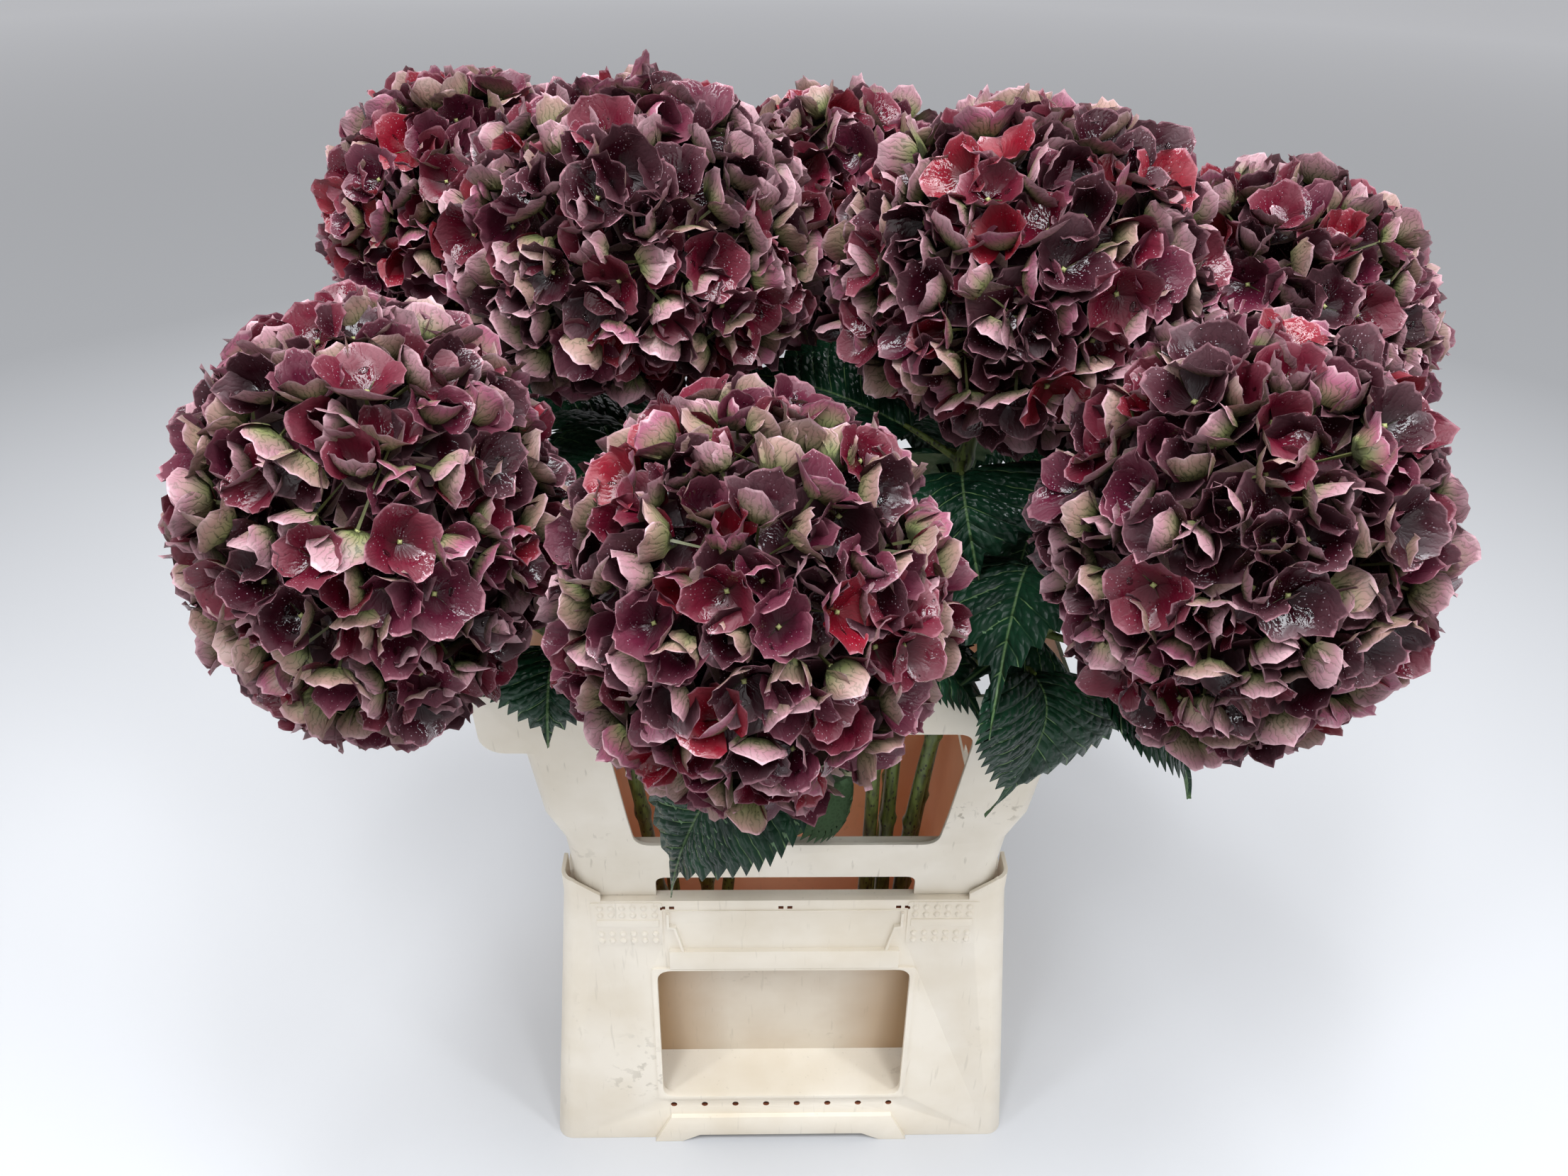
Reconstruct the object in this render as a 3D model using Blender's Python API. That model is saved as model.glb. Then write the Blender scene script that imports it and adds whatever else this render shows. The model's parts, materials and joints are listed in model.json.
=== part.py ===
"""Cut hydrangea stems with large round flower heads, standing in a two-piece plastic container.

The container is a footed bucket with a loose collar above it. Nine stems stand in it, three rows
of three, and each carries leaves at one or two joints and one flower head at its tip.

Metres, +Z up. The origin is on the floor under the middle of the bucket. The bucket's long side
runs along X and the front, which the flower heads lean out over, faces -Y.
"""

import math
import random
from collections import namedtuple

import bmesh
import bpy
from mathutils import Matrix, Vector

SEED = 7
GAP = 0.0003

# The bucket: full sizes along X and Y at the foot and at the rim
FOOT_SIZE = (0.400, 0.300)
RIM_SIZE = (0.348, 0.256)
BUCKET_HEIGHT = 0.2865
WALL = 0.003
TUB_RIM_SIZE = (0.332, 0.240)
TUB_FLOOR_SIZE = (0.276, 0.192)
LEDGE_HEIGHT = 0.058
CORNER_RADIUS = 0.014
ARC_STEPS = 3
POST_HEIGHT = 0.022
POST_LEG = 0.030

# The cut-outs in the bucket's skirt, in the long sides and in the ends
RECESS_TOP = 0.212
RECESS_HALF_WIDTH = 0.103
RECESS_END_HALF_WIDTH = 0.060
RECESS_ROUNDING = 0.012
RECESS_CUT_START = 0.002
RECESS_CUT_BEYOND = 0.010
LABEL_HALF_WIDTH = 0.092
LABEL_BOTTOM = 0.2165
LABEL_SHELF = 0.019
LABEL_PROUD = 0.004
LABEL_BEVEL = 0.002

# The collar: half sizes of its outside at each height, from its foot to its top edge
COLLAR_FOOT = BUCKET_HEIGHT + GAP
COLLAR_TOP = 0.513
COLLAR_OUTLINE = (
    (COLLAR_FOOT, 0.1660, 0.1220),
    (0.320, 0.1655, 0.1245),
    (0.352, 0.1670, 0.1300),
    (0.385, 0.1780, 0.1370),
    (0.455, 0.1840, 0.1470),
    (COLLAR_TOP, 0.1890, 0.1550),
)
WINDOW_BOTTOM = 0.349
WINDOW_TOP = 0.476
WINDOW_HALF_WIDTHS = (0.1137, 0.1260)
END_WINDOW_HALF_WIDTHS = (0.060, 0.070)
WINDOW_ROUNDING = 0.013
NOTCH_TOP = 0.308
NOTCH_HALF_WIDTH = 0.101
END_NOTCH_HALF_WIDTH = 0.034
NOTCH_ROUNDING = 0.008
EAR_BOTTOM = 0.457
EAR_REACH = 0.2105
EAR_ROUNDING = 0.016
EAR_TOP_ROUNDING = 0.004
EAR_ROOT = 0.022
EAR_WALL = 0.0027
EAR_INSET = 0.0001
CUT_REACH = 0.3

# Stems and joints
STEM_RADIUS_FOOT = 0.0062
STEM_RADIUS_TIP = 0.0046
STEM_SIDES = 7
STEM_STEP = 0.045
STEM_FOOT_HEIGHT = WALL + GAP
CURVE_STEPS = 40
TANGENT_STEP = 0.002
NECK_LENGTH = 0.115
NECK_END = 0.020
JOINT_LENGTH = 0.018
JOINT_SWELL = 1.45
LEAF_ROOT_DROP = 0.004
LEAN = 1.15

# Leaves
PETIOLE_SHARE = 0.22
PETIOLE_WIDTH = 0.0046
LEAF_THICKNESS = 0.0018
LEAF_FOLD = 0.10
LEAF_STATIONS = 9
LEAF_BELLY = 0.72
LEAF_FULLNESS = 0.85
LEAF_TAPER = 0.25
LEAF_END = 0.985
LEAF_TIP_HALF_WIDTH = 0.0012

# Flower heads: their florets are larger than life, as far as a full head needs
FLORET_COUNT = 30
FLORET_HALF_WIDTH = 0.0340
FLORET_NOTCH = 0.72
FLORET_NOTCH_DROP = 0.0078
FLORET_CUP = 0.0115
FLORET_ROOT = 0.030
FLORET_SPREAD = 1.78
FLORET_JITTER = 0.12
FLORET_SINK = 0.04
FLORET_PUSH_LIMIT = 0.30
CORE_SHARE = 0.80
UNDERSIDE_SHARE = 0.22
UNDERSIDE_START = 105
UNDERSIDE_SPAN = 60
NEIGHBOUR_REACH = 1.15
LEAST_FACING = 0.05
HEAD_CLEARANCE = 0.0006

Shoot = namedtuple("Shoot", "head half_size foot rim joints")
Joint = namedtuple("Joint", "below leaves")
Leaf = namedtuple("Leaf", "over tip width")

# For each shoot: the middle and half sizes of its flower head, the place of its cut end on the
# bucket's floor, its place at the height of the collar's rim, and its joints. A joint lies a
# distance below the head's middle, and each of its leaves arches over a point to its tip.
RIM_HEIGHT = 0.480
SHOOTS = {
    "front_left": Shoot(
        (-0.2355, -0.1784, 0.6543), (0.107, 0.114, 0.133), (-0.088, -0.050), (-0.128, -0.104),
        [Joint(0.150, [
            Leaf((-0.150, -0.195, 0.575), (-0.158, -0.178, 0.488), 0.080),
            Leaf((-0.110, -0.080, 0.650), (-0.070, -0.105, 0.585), 0.075),
        ])],
    ),
    "front_centre": Shoot(
        (-0.0264, -0.2119, 0.6290), (0.115, 0.118, 0.124), (0.066, -0.066), (0.060, -0.116),
        [Joint(0.148, [
            Leaf((0.006, -0.232, 0.552), (-0.082, -0.177, 0.345), 0.100),
            Leaf((0.085, -0.150, 0.580), (0.128, -0.173, 0.500), 0.078),
        ]), Joint(0.270, [
            Leaf((0.022, -0.092, 0.460), (-0.035, -0.090, 0.364), 0.060),
        ])],
    ),
    "front_right": Shoot(
        (0.2370, -0.2033, 0.6642), (0.110, 0.112, 0.128), (0.094, -0.056), (0.110, -0.114),
        [Joint(0.140, [
            Leaf((0.154, -0.090, 0.655), (0.112, -0.234, 0.546), 0.114),
            Leaf((0.232, -0.190, 0.568), (0.256, -0.206, 0.470), 0.098),
        ]), Joint(0.178, [
            Leaf((0.190, -0.207, 0.564), (0.130, -0.190, 0.438), 0.132),
        ])],
    ),
    "middle_left": Shoot(
        (-0.0982, -0.0109, 0.7580), (0.119, 0.119, 0.107), (-0.062, -0.026), (-0.074, -0.030),
        [Joint(0.136, [
            Leaf((-0.040, -0.055, 0.690), (-0.010, -0.085, 0.622), 0.104),
            Leaf((-0.155, 0.005, 0.680), (-0.212, 0.005, 0.598), 0.102),
            Leaf((-0.145, -0.060, 0.662), (-0.180, -0.080, 0.560), 0.100),
        ])],
    ),
    "middle_centre": Shoot(
        (0.1344, -0.0658, 0.7573), (0.116, 0.116, 0.110), (0.084, -0.078), (0.083, -0.090),
        [Joint(0.112, [
            Leaf((0.094, -0.142, 0.674), (0.115, -0.146, 0.598), 0.126),
            Leaf((0.035, -0.045, 0.690), (-0.040, 0.020, 0.665), 0.105),
        ])],
    ),
    "middle_right": Shoot(
        (0.3200, 0.0236, 0.6830), (0.126, 0.126, 0.128), (0.098, -0.020), (0.148, -0.004),
        [Joint(0.150, [
            Leaf((0.165, -0.030, 0.605), (0.150, -0.095, 0.510), 0.095),
            Leaf((0.290, 0.050, 0.585), (0.345, 0.070, 0.515), 0.090),
        ])],
    ),
    "back_left": Shoot(
        (-0.2385, 0.1598, 0.7193), (0.115, 0.115, 0.115), (-0.094, 0.020), (-0.134, 0.082),
        [Joint(0.146, [
            Leaf((-0.250, 0.100, 0.620), (-0.290, 0.080, 0.530), 0.085),
            Leaf((-0.150, 0.170, 0.610), (-0.120, 0.205, 0.520), 0.085),
            Leaf((-0.150, 0.080, 0.645), (-0.125, 0.025, 0.585), 0.095),
            Leaf((-0.190, 0.092, 0.672), (-0.208, 0.052, 0.606), 0.080),
        ])],
    ),
    "back_centre": Shoot(
        (0.0380, 0.1650, 0.7060), (0.120, 0.120, 0.120), (-0.060, 0.040), (-0.012, 0.098),
        [Joint(0.146, [
            Leaf((-0.030, 0.180, 0.600), (-0.045, 0.225, 0.500), 0.085),
            Leaf((0.060, 0.170, 0.590), (0.100, 0.215, 0.505), 0.085),
            Leaf((0.082, 0.060, 0.668), (0.120, -0.036, 0.592), 0.110),
        ])],
    ),
    "back_right": Shoot(
        (0.2400, 0.2000, 0.6300), (0.120, 0.120, 0.120), (0.090, 0.034), (0.126, 0.108),
        [Joint(0.146, [
            Leaf((0.230, 0.090, 0.590), (0.280, 0.080, 0.490), 0.085),
            Leaf((0.150, 0.190, 0.570), (0.170, 0.235, 0.460), 0.085),
            Leaf((0.170, 0.110, 0.610), (0.125, 0.045, 0.560), 0.095),
        ])],
    ),
}

# Linear base colour, roughness and metallic value of each part's material
MATERIALS = {
    "container": ((0.80, 0.74, 0.62), 0.55, 0.0),
    "stem": ((0.10, 0.16, 0.035), 0.50, 0.0),
    "leaf": ((0.018, 0.065, 0.030), 0.35, 0.0),
    "petal": ((0.16, 0.018, 0.035), 0.40, 0.0),
}


def material(name):
    """The material of one kind of part, made once and then shared."""
    found = bpy.data.materials.get(name)
    if found:
        return found
    colour, roughness, metallic = MATERIALS[name]
    made = bpy.data.materials.new(name)
    made.use_nodes = True
    shader = made.node_tree.nodes["Principled BSDF"]
    shader.inputs["Base Color"].default_value = (*colour, 1.0)
    shader.inputs["Roughness"].default_value = roughness
    shader.inputs["Metallic"].default_value = metallic
    made.diffuse_color = (*colour, 1.0)
    return made


def new_object(name, verts, faces, kind=None, smooth_angle=None):
    """An object from points and faces, with its faces turned outwards."""
    mesh = bpy.data.meshes.new(name)
    mesh.from_pydata([tuple(v) for v in verts], [], faces)
    shape = bmesh.new()
    shape.from_mesh(mesh)
    bmesh.ops.recalc_face_normals(shape, faces=shape.faces)
    shape.to_mesh(mesh)
    shape.free()
    made = bpy.data.objects.new(name, mesh)
    bpy.context.scene.collection.objects.link(made)
    if kind:
        mesh.materials.append(material(kind))
    if smooth_angle:
        mesh.shade_smooth()
        mesh.set_sharp_from_angle(angle=math.radians(smooth_angle))
    return made


def loft(rings, ring_like=False):
    """Points and faces of a skin over equal rings: capped at both ends, or joined end to end."""
    count = len(rings[0])
    verts = [point for ring in rings for point in ring]
    faces = []
    spans = len(rings) if ring_like else len(rings) - 1
    for span in range(spans):
        here, there = span * count, (span + 1) % len(rings) * count
        for i in range(count):
            j = (i + 1) % count
            faces.append((here + i, here + j, there + j, there + i))
    if not ring_like:
        last = (len(rings) - 1) * count
        faces.append(tuple(range(count))[::-1])
        faces.append(tuple(range(last, last + count)))
    return verts, faces


def rounded_ring(half_x, half_y, z, radius=CORNER_RADIUS):
    """A level rounded rectangle, anticlockwise from above."""
    ring = []
    for quarter, (sign_x, sign_y) in enumerate(((1, 1), (-1, 1), (-1, -1), (1, -1))):
        for step in range(ARC_STEPS + 1):
            angle = math.radians(90 * (quarter + step / ARC_STEPS))
            x = sign_x * (half_x - radius) + radius * math.cos(angle)
            y = sign_y * (half_y - radius) + radius * math.sin(angle)
            ring.append(Vector((x, y, z)))
    return ring


def rounded_outline(corners, radius, steps=3):
    """The outline of a polygon in a plane, each of its corners rounded by an arc of chords."""
    outline = []
    for i, corner in enumerate(corners):
        here = Vector(corner)
        before = (Vector(corners[i - 1]) - here).normalized() * radius
        after = (Vector(corners[(i + 1) % len(corners)]) - here).normalized() * radius
        for step in range(steps + 1):
            t = step / steps
            outline.append(here + before * (1 - t) ** 2 + after * t ** 2)
    return outline


def prism(name, outline, axis, start, end):
    """A cutter or slab: an outline of (across, height) points pushed along X or Y."""
    rings = []
    for reach in (start, end):
        if axis == "Y":
            rings.append([Vector((across, reach, height)) for across, height in outline])
        else:
            rings.append([Vector((reach, across, height)) for across, height in outline])
    return new_object(name, *loft(rings))


def apply_modifiers(target):
    """Turns an object's evaluated mesh into its own."""
    graph = bpy.context.evaluated_depsgraph_get()
    done = bpy.data.meshes.new_from_object(target.evaluated_get(graph))
    target.modifiers.clear()
    old = target.data
    target.data = done
    bpy.data.meshes.remove(old)


def combine(target, others, operation, solver="EXACT"):
    """Joins or cuts a target with a collection of objects in one Boolean, then removes them."""
    group = bpy.data.collections.new(target.name + "_group")
    bpy.context.scene.collection.children.link(group)
    for other in others:
        bpy.context.scene.collection.objects.unlink(other)
        group.objects.link(other)
    change = target.modifiers.new(operation.lower(), "BOOLEAN")
    change.operation = operation
    change.operand_type = "COLLECTION"
    change.collection = group
    change.solver = solver
    apply_modifiers(target)
    for other in others:
        bpy.data.objects.remove(other)
    bpy.data.collections.remove(group)


def keep_largest_shell(target):
    """Drops loose scraps and fills hollows that fusing sealed, by keeping the largest shell."""
    shape = bmesh.new()
    shape.from_mesh(target.data)
    unseen = set(shape.verts)
    shells = []
    while unseen:
        shell, front = set(), [unseen.pop()]
        while front:
            vert = front.pop()
            shell.add(vert)
            near = {edge.other_vert(vert) for edge in vert.link_edges} & unseen
            unseen -= near
            front.extend(near)
        shells.append(shell)
    shells.sort(key=len)
    for shell in shells[:-1]:
        bmesh.ops.delete(shape, geom=list(shell), context="VERTS")
    shape.to_mesh(target.data)
    shape.free()


def half_at(size_low, size_high, height):
    """Half sizes of a straight flare between the floor and the rim, at a height."""
    share = height / BUCKET_HEIGHT
    return [(low + (high - low) * share) / 2 for low, high in zip(size_low, size_high)]


def build_bucket():
    """A tapered tub hung from a flange, inside a skirt that flares out to the foot."""
    top = BUCKET_HEIGHT
    under_flange = top - WALL
    tub_rim_x, tub_rim_y = (size / 2 for size in TUB_RIM_SIZE)
    floor_x, floor_y = (size / 2 for size in TUB_FLOOR_SIZE)
    rim_x, rim_y = (size / 2 for size in RIM_SIZE)
    foot_x, foot_y = (size / 2 for size in FOOT_SIZE)
    ledge_x, ledge_y = half_at(FOOT_SIZE, RIM_SIZE, LEDGE_HEIGHT - WALL)
    web_x, web_y = half_at(TUB_FLOOR_SIZE, TUB_RIM_SIZE, LEDGE_HEIGHT - WALL)
    bucket = new_object("bucket", *loft([
        rounded_ring(floor_x - WALL, floor_y - WALL, WALL),
        rounded_ring(tub_rim_x - WALL, tub_rim_y - WALL, top),
        rounded_ring(rim_x, rim_y, top),
        rounded_ring(foot_x, foot_y, 0.0),
        rounded_ring(foot_x - WALL, foot_y - WALL, 0.0),
        rounded_ring(ledge_x - WALL, ledge_y - WALL, LEDGE_HEIGHT - WALL),
        rounded_ring(web_x, web_y, LEDGE_HEIGHT - WALL),
        rounded_ring(floor_x, floor_y, 0.0),
    ]), kind="container", smooth_angle=30)

    # The space between tub and skirt, and the cut-outs that open it on all four sides
    skirt_low = half_at(FOOT_SIZE, RIM_SIZE, LEDGE_HEIGHT)
    skirt_high = half_at(FOOT_SIZE, RIM_SIZE, under_flange)
    tub_low = half_at(TUB_FLOOR_SIZE, TUB_RIM_SIZE, LEDGE_HEIGHT)
    tub_high = half_at(TUB_FLOOR_SIZE, TUB_RIM_SIZE, under_flange)
    space = new_object("space", *loft([
        rounded_ring(skirt_low[0] - WALL, skirt_low[1] - WALL, LEDGE_HEIGHT),
        rounded_ring(skirt_high[0] - WALL, skirt_high[1] - WALL, under_flange),
        rounded_ring(*tub_high, under_flange),
        rounded_ring(*tub_low, LEDGE_HEIGHT),
    ], ring_like=True))
    cutters = [space]
    for axis, half_width, inner, outer in (
        ("Y", RECESS_HALF_WIDTH, tub_rim_y - RECESS_CUT_START, foot_y + RECESS_CUT_BEYOND),
        ("X", RECESS_END_HALF_WIDTH, tub_rim_x - RECESS_CUT_START, foot_x + RECESS_CUT_BEYOND),
    ):
        corners = [
            (-half_width, LEDGE_HEIGHT), (half_width, LEDGE_HEIGHT),
            (half_width, RECESS_TOP), (-half_width, RECESS_TOP),
        ]
        outline = rounded_outline(corners, RECESS_ROUNDING)
        for sign in (-1, 1):
            cutters.append(prism("recess", outline, axis, sign * inner, sign * outer))
    combine(bucket, cutters, "DIFFERENCE")

    # Corner posts that hold the collar, and the shelf under each label strip
    additions = []
    for sign_x in (-1, 1):
        for sign_y in (-1, 1):
            additions.append(corner_post(sign_x, sign_y, rim_x, rim_y))
    for sign in (-1, 1):
        low = half_at(FOOT_SIZE, RIM_SIZE, LABEL_BOTTOM)[1]
        high = half_at(FOOT_SIZE, RIM_SIZE, LABEL_BOTTOM + LABEL_SHELF)[1]
        shelf = [
            (sign * (low - WALL / 2), LABEL_BOTTOM),
            (sign * (low + LABEL_PROUD), LABEL_BOTTOM + LABEL_BEVEL),
            (sign * (high + LABEL_PROUD), LABEL_BOTTOM + LABEL_SHELF - LABEL_BEVEL),
            (sign * (high - WALL / 2), LABEL_BOTTOM + LABEL_SHELF),
        ]
        additions.append(prism("shelf", shelf, "X", -LABEL_HALF_WIDTH, LABEL_HALF_WIDTH))
    combine(bucket, additions, "UNION")
    keep_largest_shell(bucket)
    return bucket


def corner_post(sign_x, sign_y, rim_x, rim_y):
    """An angle that follows one corner of the rim and stands up from it."""
    plan = []
    for inset in (0.0, WALL):
        side = []
        radius = CORNER_RADIUS - inset
        side.append((rim_x - POST_LEG, rim_y - inset))
        for step in range(ARC_STEPS + 1):
            angle = math.radians(90 * (1 - step / ARC_STEPS))
            side.append((
                rim_x - CORNER_RADIUS + radius * math.cos(angle),
                rim_y - CORNER_RADIUS + radius * math.sin(angle),
            ))
        side.append((rim_x - inset, rim_y - POST_LEG))
        plan += side if inset == 0 else side[::-1]
    rings = [
        [Vector((sign_x * x, sign_y * y, z)) for x, y in plan]
        for z in (BUCKET_HEIGHT - WALL / 2, BUCKET_HEIGHT + POST_HEIGHT)
    ]
    return new_object("post", *loft(rings))


def collar_half_y(height):
    """The collar's half depth at a height, along its outline."""
    for (z_low, _, y_low), (z_high, _, y_high) in zip(COLLAR_OUTLINE, COLLAR_OUTLINE[1:]):
        if height <= z_high:
            return y_low + (y_high - y_low) * (height - z_low) / (z_high - z_low)
    return COLLAR_OUTLINE[-1][2]


def build_collar():
    """A flared sleeve with a window in each side, ears at its top and a notch at its foot."""
    outside = [rounded_ring(x, y, z) for z, x, y in COLLAR_OUTLINE]
    inside = [
        rounded_ring(x - WALL, y - WALL, z, CORNER_RADIUS - WALL)
        for z, x, y in reversed(COLLAR_OUTLINE)
    ]
    collar = new_object("collar", *loft(outside + inside, ring_like=True), kind="container",
                        smooth_angle=30)
    ears = []
    for sign_x in (-1, 1):
        for sign_y in (-1, 1):
            ears.append(ear(sign_x, sign_y))
    combine(collar, ears, "UNION")

    cutters = []
    for axis, low, high in (("Y", *WINDOW_HALF_WIDTHS), ("X", *END_WINDOW_HALF_WIDTHS)):
        corners = [(-low, WINDOW_BOTTOM), (low, WINDOW_BOTTOM), (high, WINDOW_TOP), (-high, WINDOW_TOP)]
        outline = rounded_outline(corners, WINDOW_ROUNDING)
        cutters.append(prism("window", outline, axis, -CUT_REACH, CUT_REACH))
    for axis, half in (("Y", NOTCH_HALF_WIDTH), ("X", END_NOTCH_HALF_WIDTH)):
        below = COLLAR_FOOT - 2 * NOTCH_ROUNDING
        corners = [(-half, below), (half, below), (half, NOTCH_TOP), (-half, NOTCH_TOP)]
        outline = rounded_outline(corners, NOTCH_ROUNDING)
        cutters.append(prism("notch", outline, axis, -CUT_REACH, CUT_REACH))
    combine(collar, cutters, "DIFFERENCE")
    keep_largest_shell(collar)
    return collar


def ear(sign_x, sign_y):
    """A flat end of the collar's top band that runs out past the side, in the slant of its face."""
    root = COLLAR_OUTLINE[-1][1] - EAR_ROOT
    corners = [
        (root, EAR_BOTTOM), (EAR_REACH - EAR_ROUNDING, EAR_BOTTOM),
        (EAR_REACH, EAR_BOTTOM + EAR_ROUNDING), (EAR_REACH, COLLAR_TOP - EAR_TOP_ROUNDING),
        (EAR_REACH - EAR_TOP_ROUNDING, COLLAR_TOP), (root, COLLAR_TOP),
    ]
    rings = []
    for inset in (EAR_INSET, EAR_INSET + EAR_WALL):
        rings.append([
            Vector((sign_x * x, sign_y * (collar_half_y(z) - inset), z)) for x, z in corners
        ])
    return new_object("ear", *loft(rings))


def head_axis(shoot):
    """The way a flower head faces: along its stem, leaning out a little more than the stem does."""
    rise = Vector(shoot.head) - Vector((*shoot.rim, RIM_HEIGHT))
    return Vector((rise.x * LEAN, rise.y * LEAN, rise.z)).normalized()


def stem_path(shoot):
    """Evenly spaced points of a smooth curve from a stem's cut end to its head's middle."""
    head = Vector(shoot.head)
    knots = [
        Vector((*shoot.foot, STEM_FOOT_HEIGHT)),
        Vector((*shoot.rim, RIM_HEIGHT)),
        head - head_axis(shoot) * NECK_LENGTH,
        head,
    ]
    slopes = [knots[1] - knots[0]]
    slopes += [(knots[i + 1] - knots[i - 1]).normalized() for i in (1, 2)]
    slopes.append(knots[3] - knots[2])
    fine = []
    for i in range(3):
        start, end = knots[i], knots[i + 1]
        span = (end - start).length
        m0, m1 = slopes[i].normalized() * span, slopes[i + 1].normalized() * span
        for step in range(CURVE_STEPS):
            t = step / CURVE_STEPS
            fine.append(
                start * (2 * t ** 3 - 3 * t ** 2 + 1) + m0 * (t ** 3 - 2 * t ** 2 + t)
                + end * (3 * t ** 2 - 2 * t ** 3) + m1 * (t ** 3 - t ** 2)
            )
    fine.append(head)
    return fine


class Path:
    """A curve that can be asked for a point and a direction at a distance from its start."""

    def __init__(self, points):
        self.points = points
        self.runs = [0.0]
        for a, b in zip(points, points[1:]):
            self.runs.append(self.runs[-1] + (b - a).length)
        self.length = self.runs[-1]

    def at(self, distance):
        for i in range(len(self.points) - 1):
            if distance <= self.runs[i + 1] or i == len(self.points) - 2:
                share = (distance - self.runs[i]) / (self.runs[i + 1] - self.runs[i])
                return self.points[i].lerp(self.points[i + 1], share)

    def along(self, distance):
        return (self.at(distance + TANGENT_STEP) - self.at(distance - TANGENT_STEP)).normalized()

    def radius(self, distance):
        return STEM_RADIUS_FOOT + (STEM_RADIUS_TIP - STEM_RADIUS_FOOT) * distance / self.length


def tube(path, start, end, swell=None, level_start=False):
    """Rings of a round limb along a path. Both ends are flat and square to it, or level."""
    steps = max(2, round((end - start) / STEM_STEP)) if swell is None else len(swell) - 1
    rings = []
    for step in range(steps + 1):
        distance = start + (end - start) * step / steps
        centre, along = path.at(distance), path.along(distance)
        if level_start and step == 0:
            along = Vector((0, 0, 1))
        side = Vector((1, 0, 0)).cross(along).normalized()
        other = along.cross(side)
        radius = path.radius(distance) * (swell[step] if swell else 1.0)
        rings.append([
            centre + (side * math.cos(a) + other * math.sin(a)) * radius
            for a in (math.tau * i / STEM_SIDES for i in range(STEM_SIDES))
        ])
    return rings


def leaf_half_width(share):
    """Half width of a blade along its length, as a share of its full width."""
    belly = math.sin(math.pi * share ** LEAF_BELLY) ** LEAF_FULLNESS
    return 0.5 * belly * (1 - LEAF_TAPER * share ** 4)


def leaf_solid(name, root, leaf):
    """A petiole and a blade in one solid, folded a little along its midrib."""
    over, tip = Vector(leaf.over), Vector(leaf.tip)
    facing = (over - (root + tip) / 2).normalized()
    rings = []
    for i in range(LEAF_STATIONS + 1):
        t = i / LEAF_STATIONS
        centre = root * (1 - t) ** 2 + over * 2 * t * (1 - t) + tip * t ** 2
        along = ((over - root) * (1 - t) + (tip - over) * t).normalized()
        side = along.cross(facing).normalized()
        normal = side.cross(along)
        blade = (t - PETIOLE_SHARE) / (1 - PETIOLE_SHARE)
        half = PETIOLE_WIDTH / 2
        thick = PETIOLE_WIDTH / 2
        if blade > 0:
            half = max(leaf.width * leaf_half_width(min(blade, LEAF_END)), LEAF_TIP_HALF_WIDTH)
            thick = LEAF_THICKNESS / 2
        lift = normal * half * LEAF_FOLD
        rings.append([
            centre - side * half + lift, centre - normal * thick,
            centre + side * half + lift, centre + normal * thick,
        ])
    return new_object(name, *loft(rings))


def build_joint(name, path, distance, leaves):
    """The swollen joint of a stem with the leaves that grow from it, fused in one solid."""
    swell = (1.0, JOINT_SWELL, JOINT_SWELL, 1.0)
    start, end = distance - JOINT_LENGTH / 2, distance + JOINT_LENGTH / 2
    joint = new_object(name, *loft(tube(path, start, end, swell)), kind="leaf", smooth_angle=50)
    root = path.at(distance - LEAF_ROOT_DROP)
    blades = [leaf_solid("leaf", root, leaf) for leaf in leaves]
    combine(joint, blades, "UNION")
    keep_largest_shell(joint)
    return joint


def neighbours(name):
    """Planes that keep a flower head in its own space: a direction and a distance from its middle."""
    shoot = SHOOTS[name]
    centre, radius = Vector(shoot.head), sum(shoot.half_size) / 3
    planes = []
    for other_name, other in SHOOTS.items():
        apart = Vector(other.head) - centre
        other_radius = sum(other.half_size) / 3
        if other_name == name or apart.length > (radius + other_radius) * NEIGHBOUR_REACH:
            continue
        span = apart.length
        limit = (span ** 2 + radius ** 2 - other_radius ** 2) / (2 * span)
        planes.append((apart.normalized(), limit - HEAD_CLEARANCE))
    return planes


def underside(direction, axis):
    """The share of its radius that a head keeps towards its flatter underside."""
    tilt = math.degrees(direction.angle(axis))
    share = min(max((tilt - UNDERSIDE_START) / UNDERSIDE_SPAN, 0.0), 1.0)
    return 1 - UNDERSIDE_SHARE * share * share * (3 - 2 * share)


def floret(centre, out, turn):
    """A cupped four-sepal floret: a shallow star whose sepals have a ridge, on a pointed root."""
    side = out.orthogonal().normalized()
    side = Matrix.Rotation(turn, 3, out) @ side
    other = out.cross(side)
    verts = []
    for i in range(8):
        angle = math.tau * i / 8
        tip = i % 2 == 0
        reach = FLORET_HALF_WIDTH * (1.0 if tip else FLORET_NOTCH)
        drop = out * (0.0 if tip else FLORET_NOTCH_DROP)
        verts.append(centre + (side * math.cos(angle) + other * math.sin(angle)) * reach - drop)
    verts += [centre - out * FLORET_CUP, centre - out * (FLORET_CUP + FLORET_ROOT)]
    cup, root = 8, 9
    faces = []
    for tip in range(0, 8, 2):
        before, after = (tip - 1) % 8, tip + 1
        faces += [(before, tip, cup), (tip, after, cup), (before, after, tip), (before, root, after)]
    return verts, faces


def spiral_directions(count, axis, rng):
    """Even directions round an axis, from its tip down to well under the equator."""
    turn = axis.to_track_quat("Z", "Y")
    for i in range(count):
        height = 1 - FLORET_SPREAD * (i + 0.5) / count
        around = i * math.pi * (3 - math.sqrt(5)) + rng.uniform(-FLORET_JITTER, FLORET_JITTER)
        level = math.sqrt(1 - height ** 2)
        yield turn @ Vector((level * math.cos(around), level * math.sin(around), height))


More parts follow.
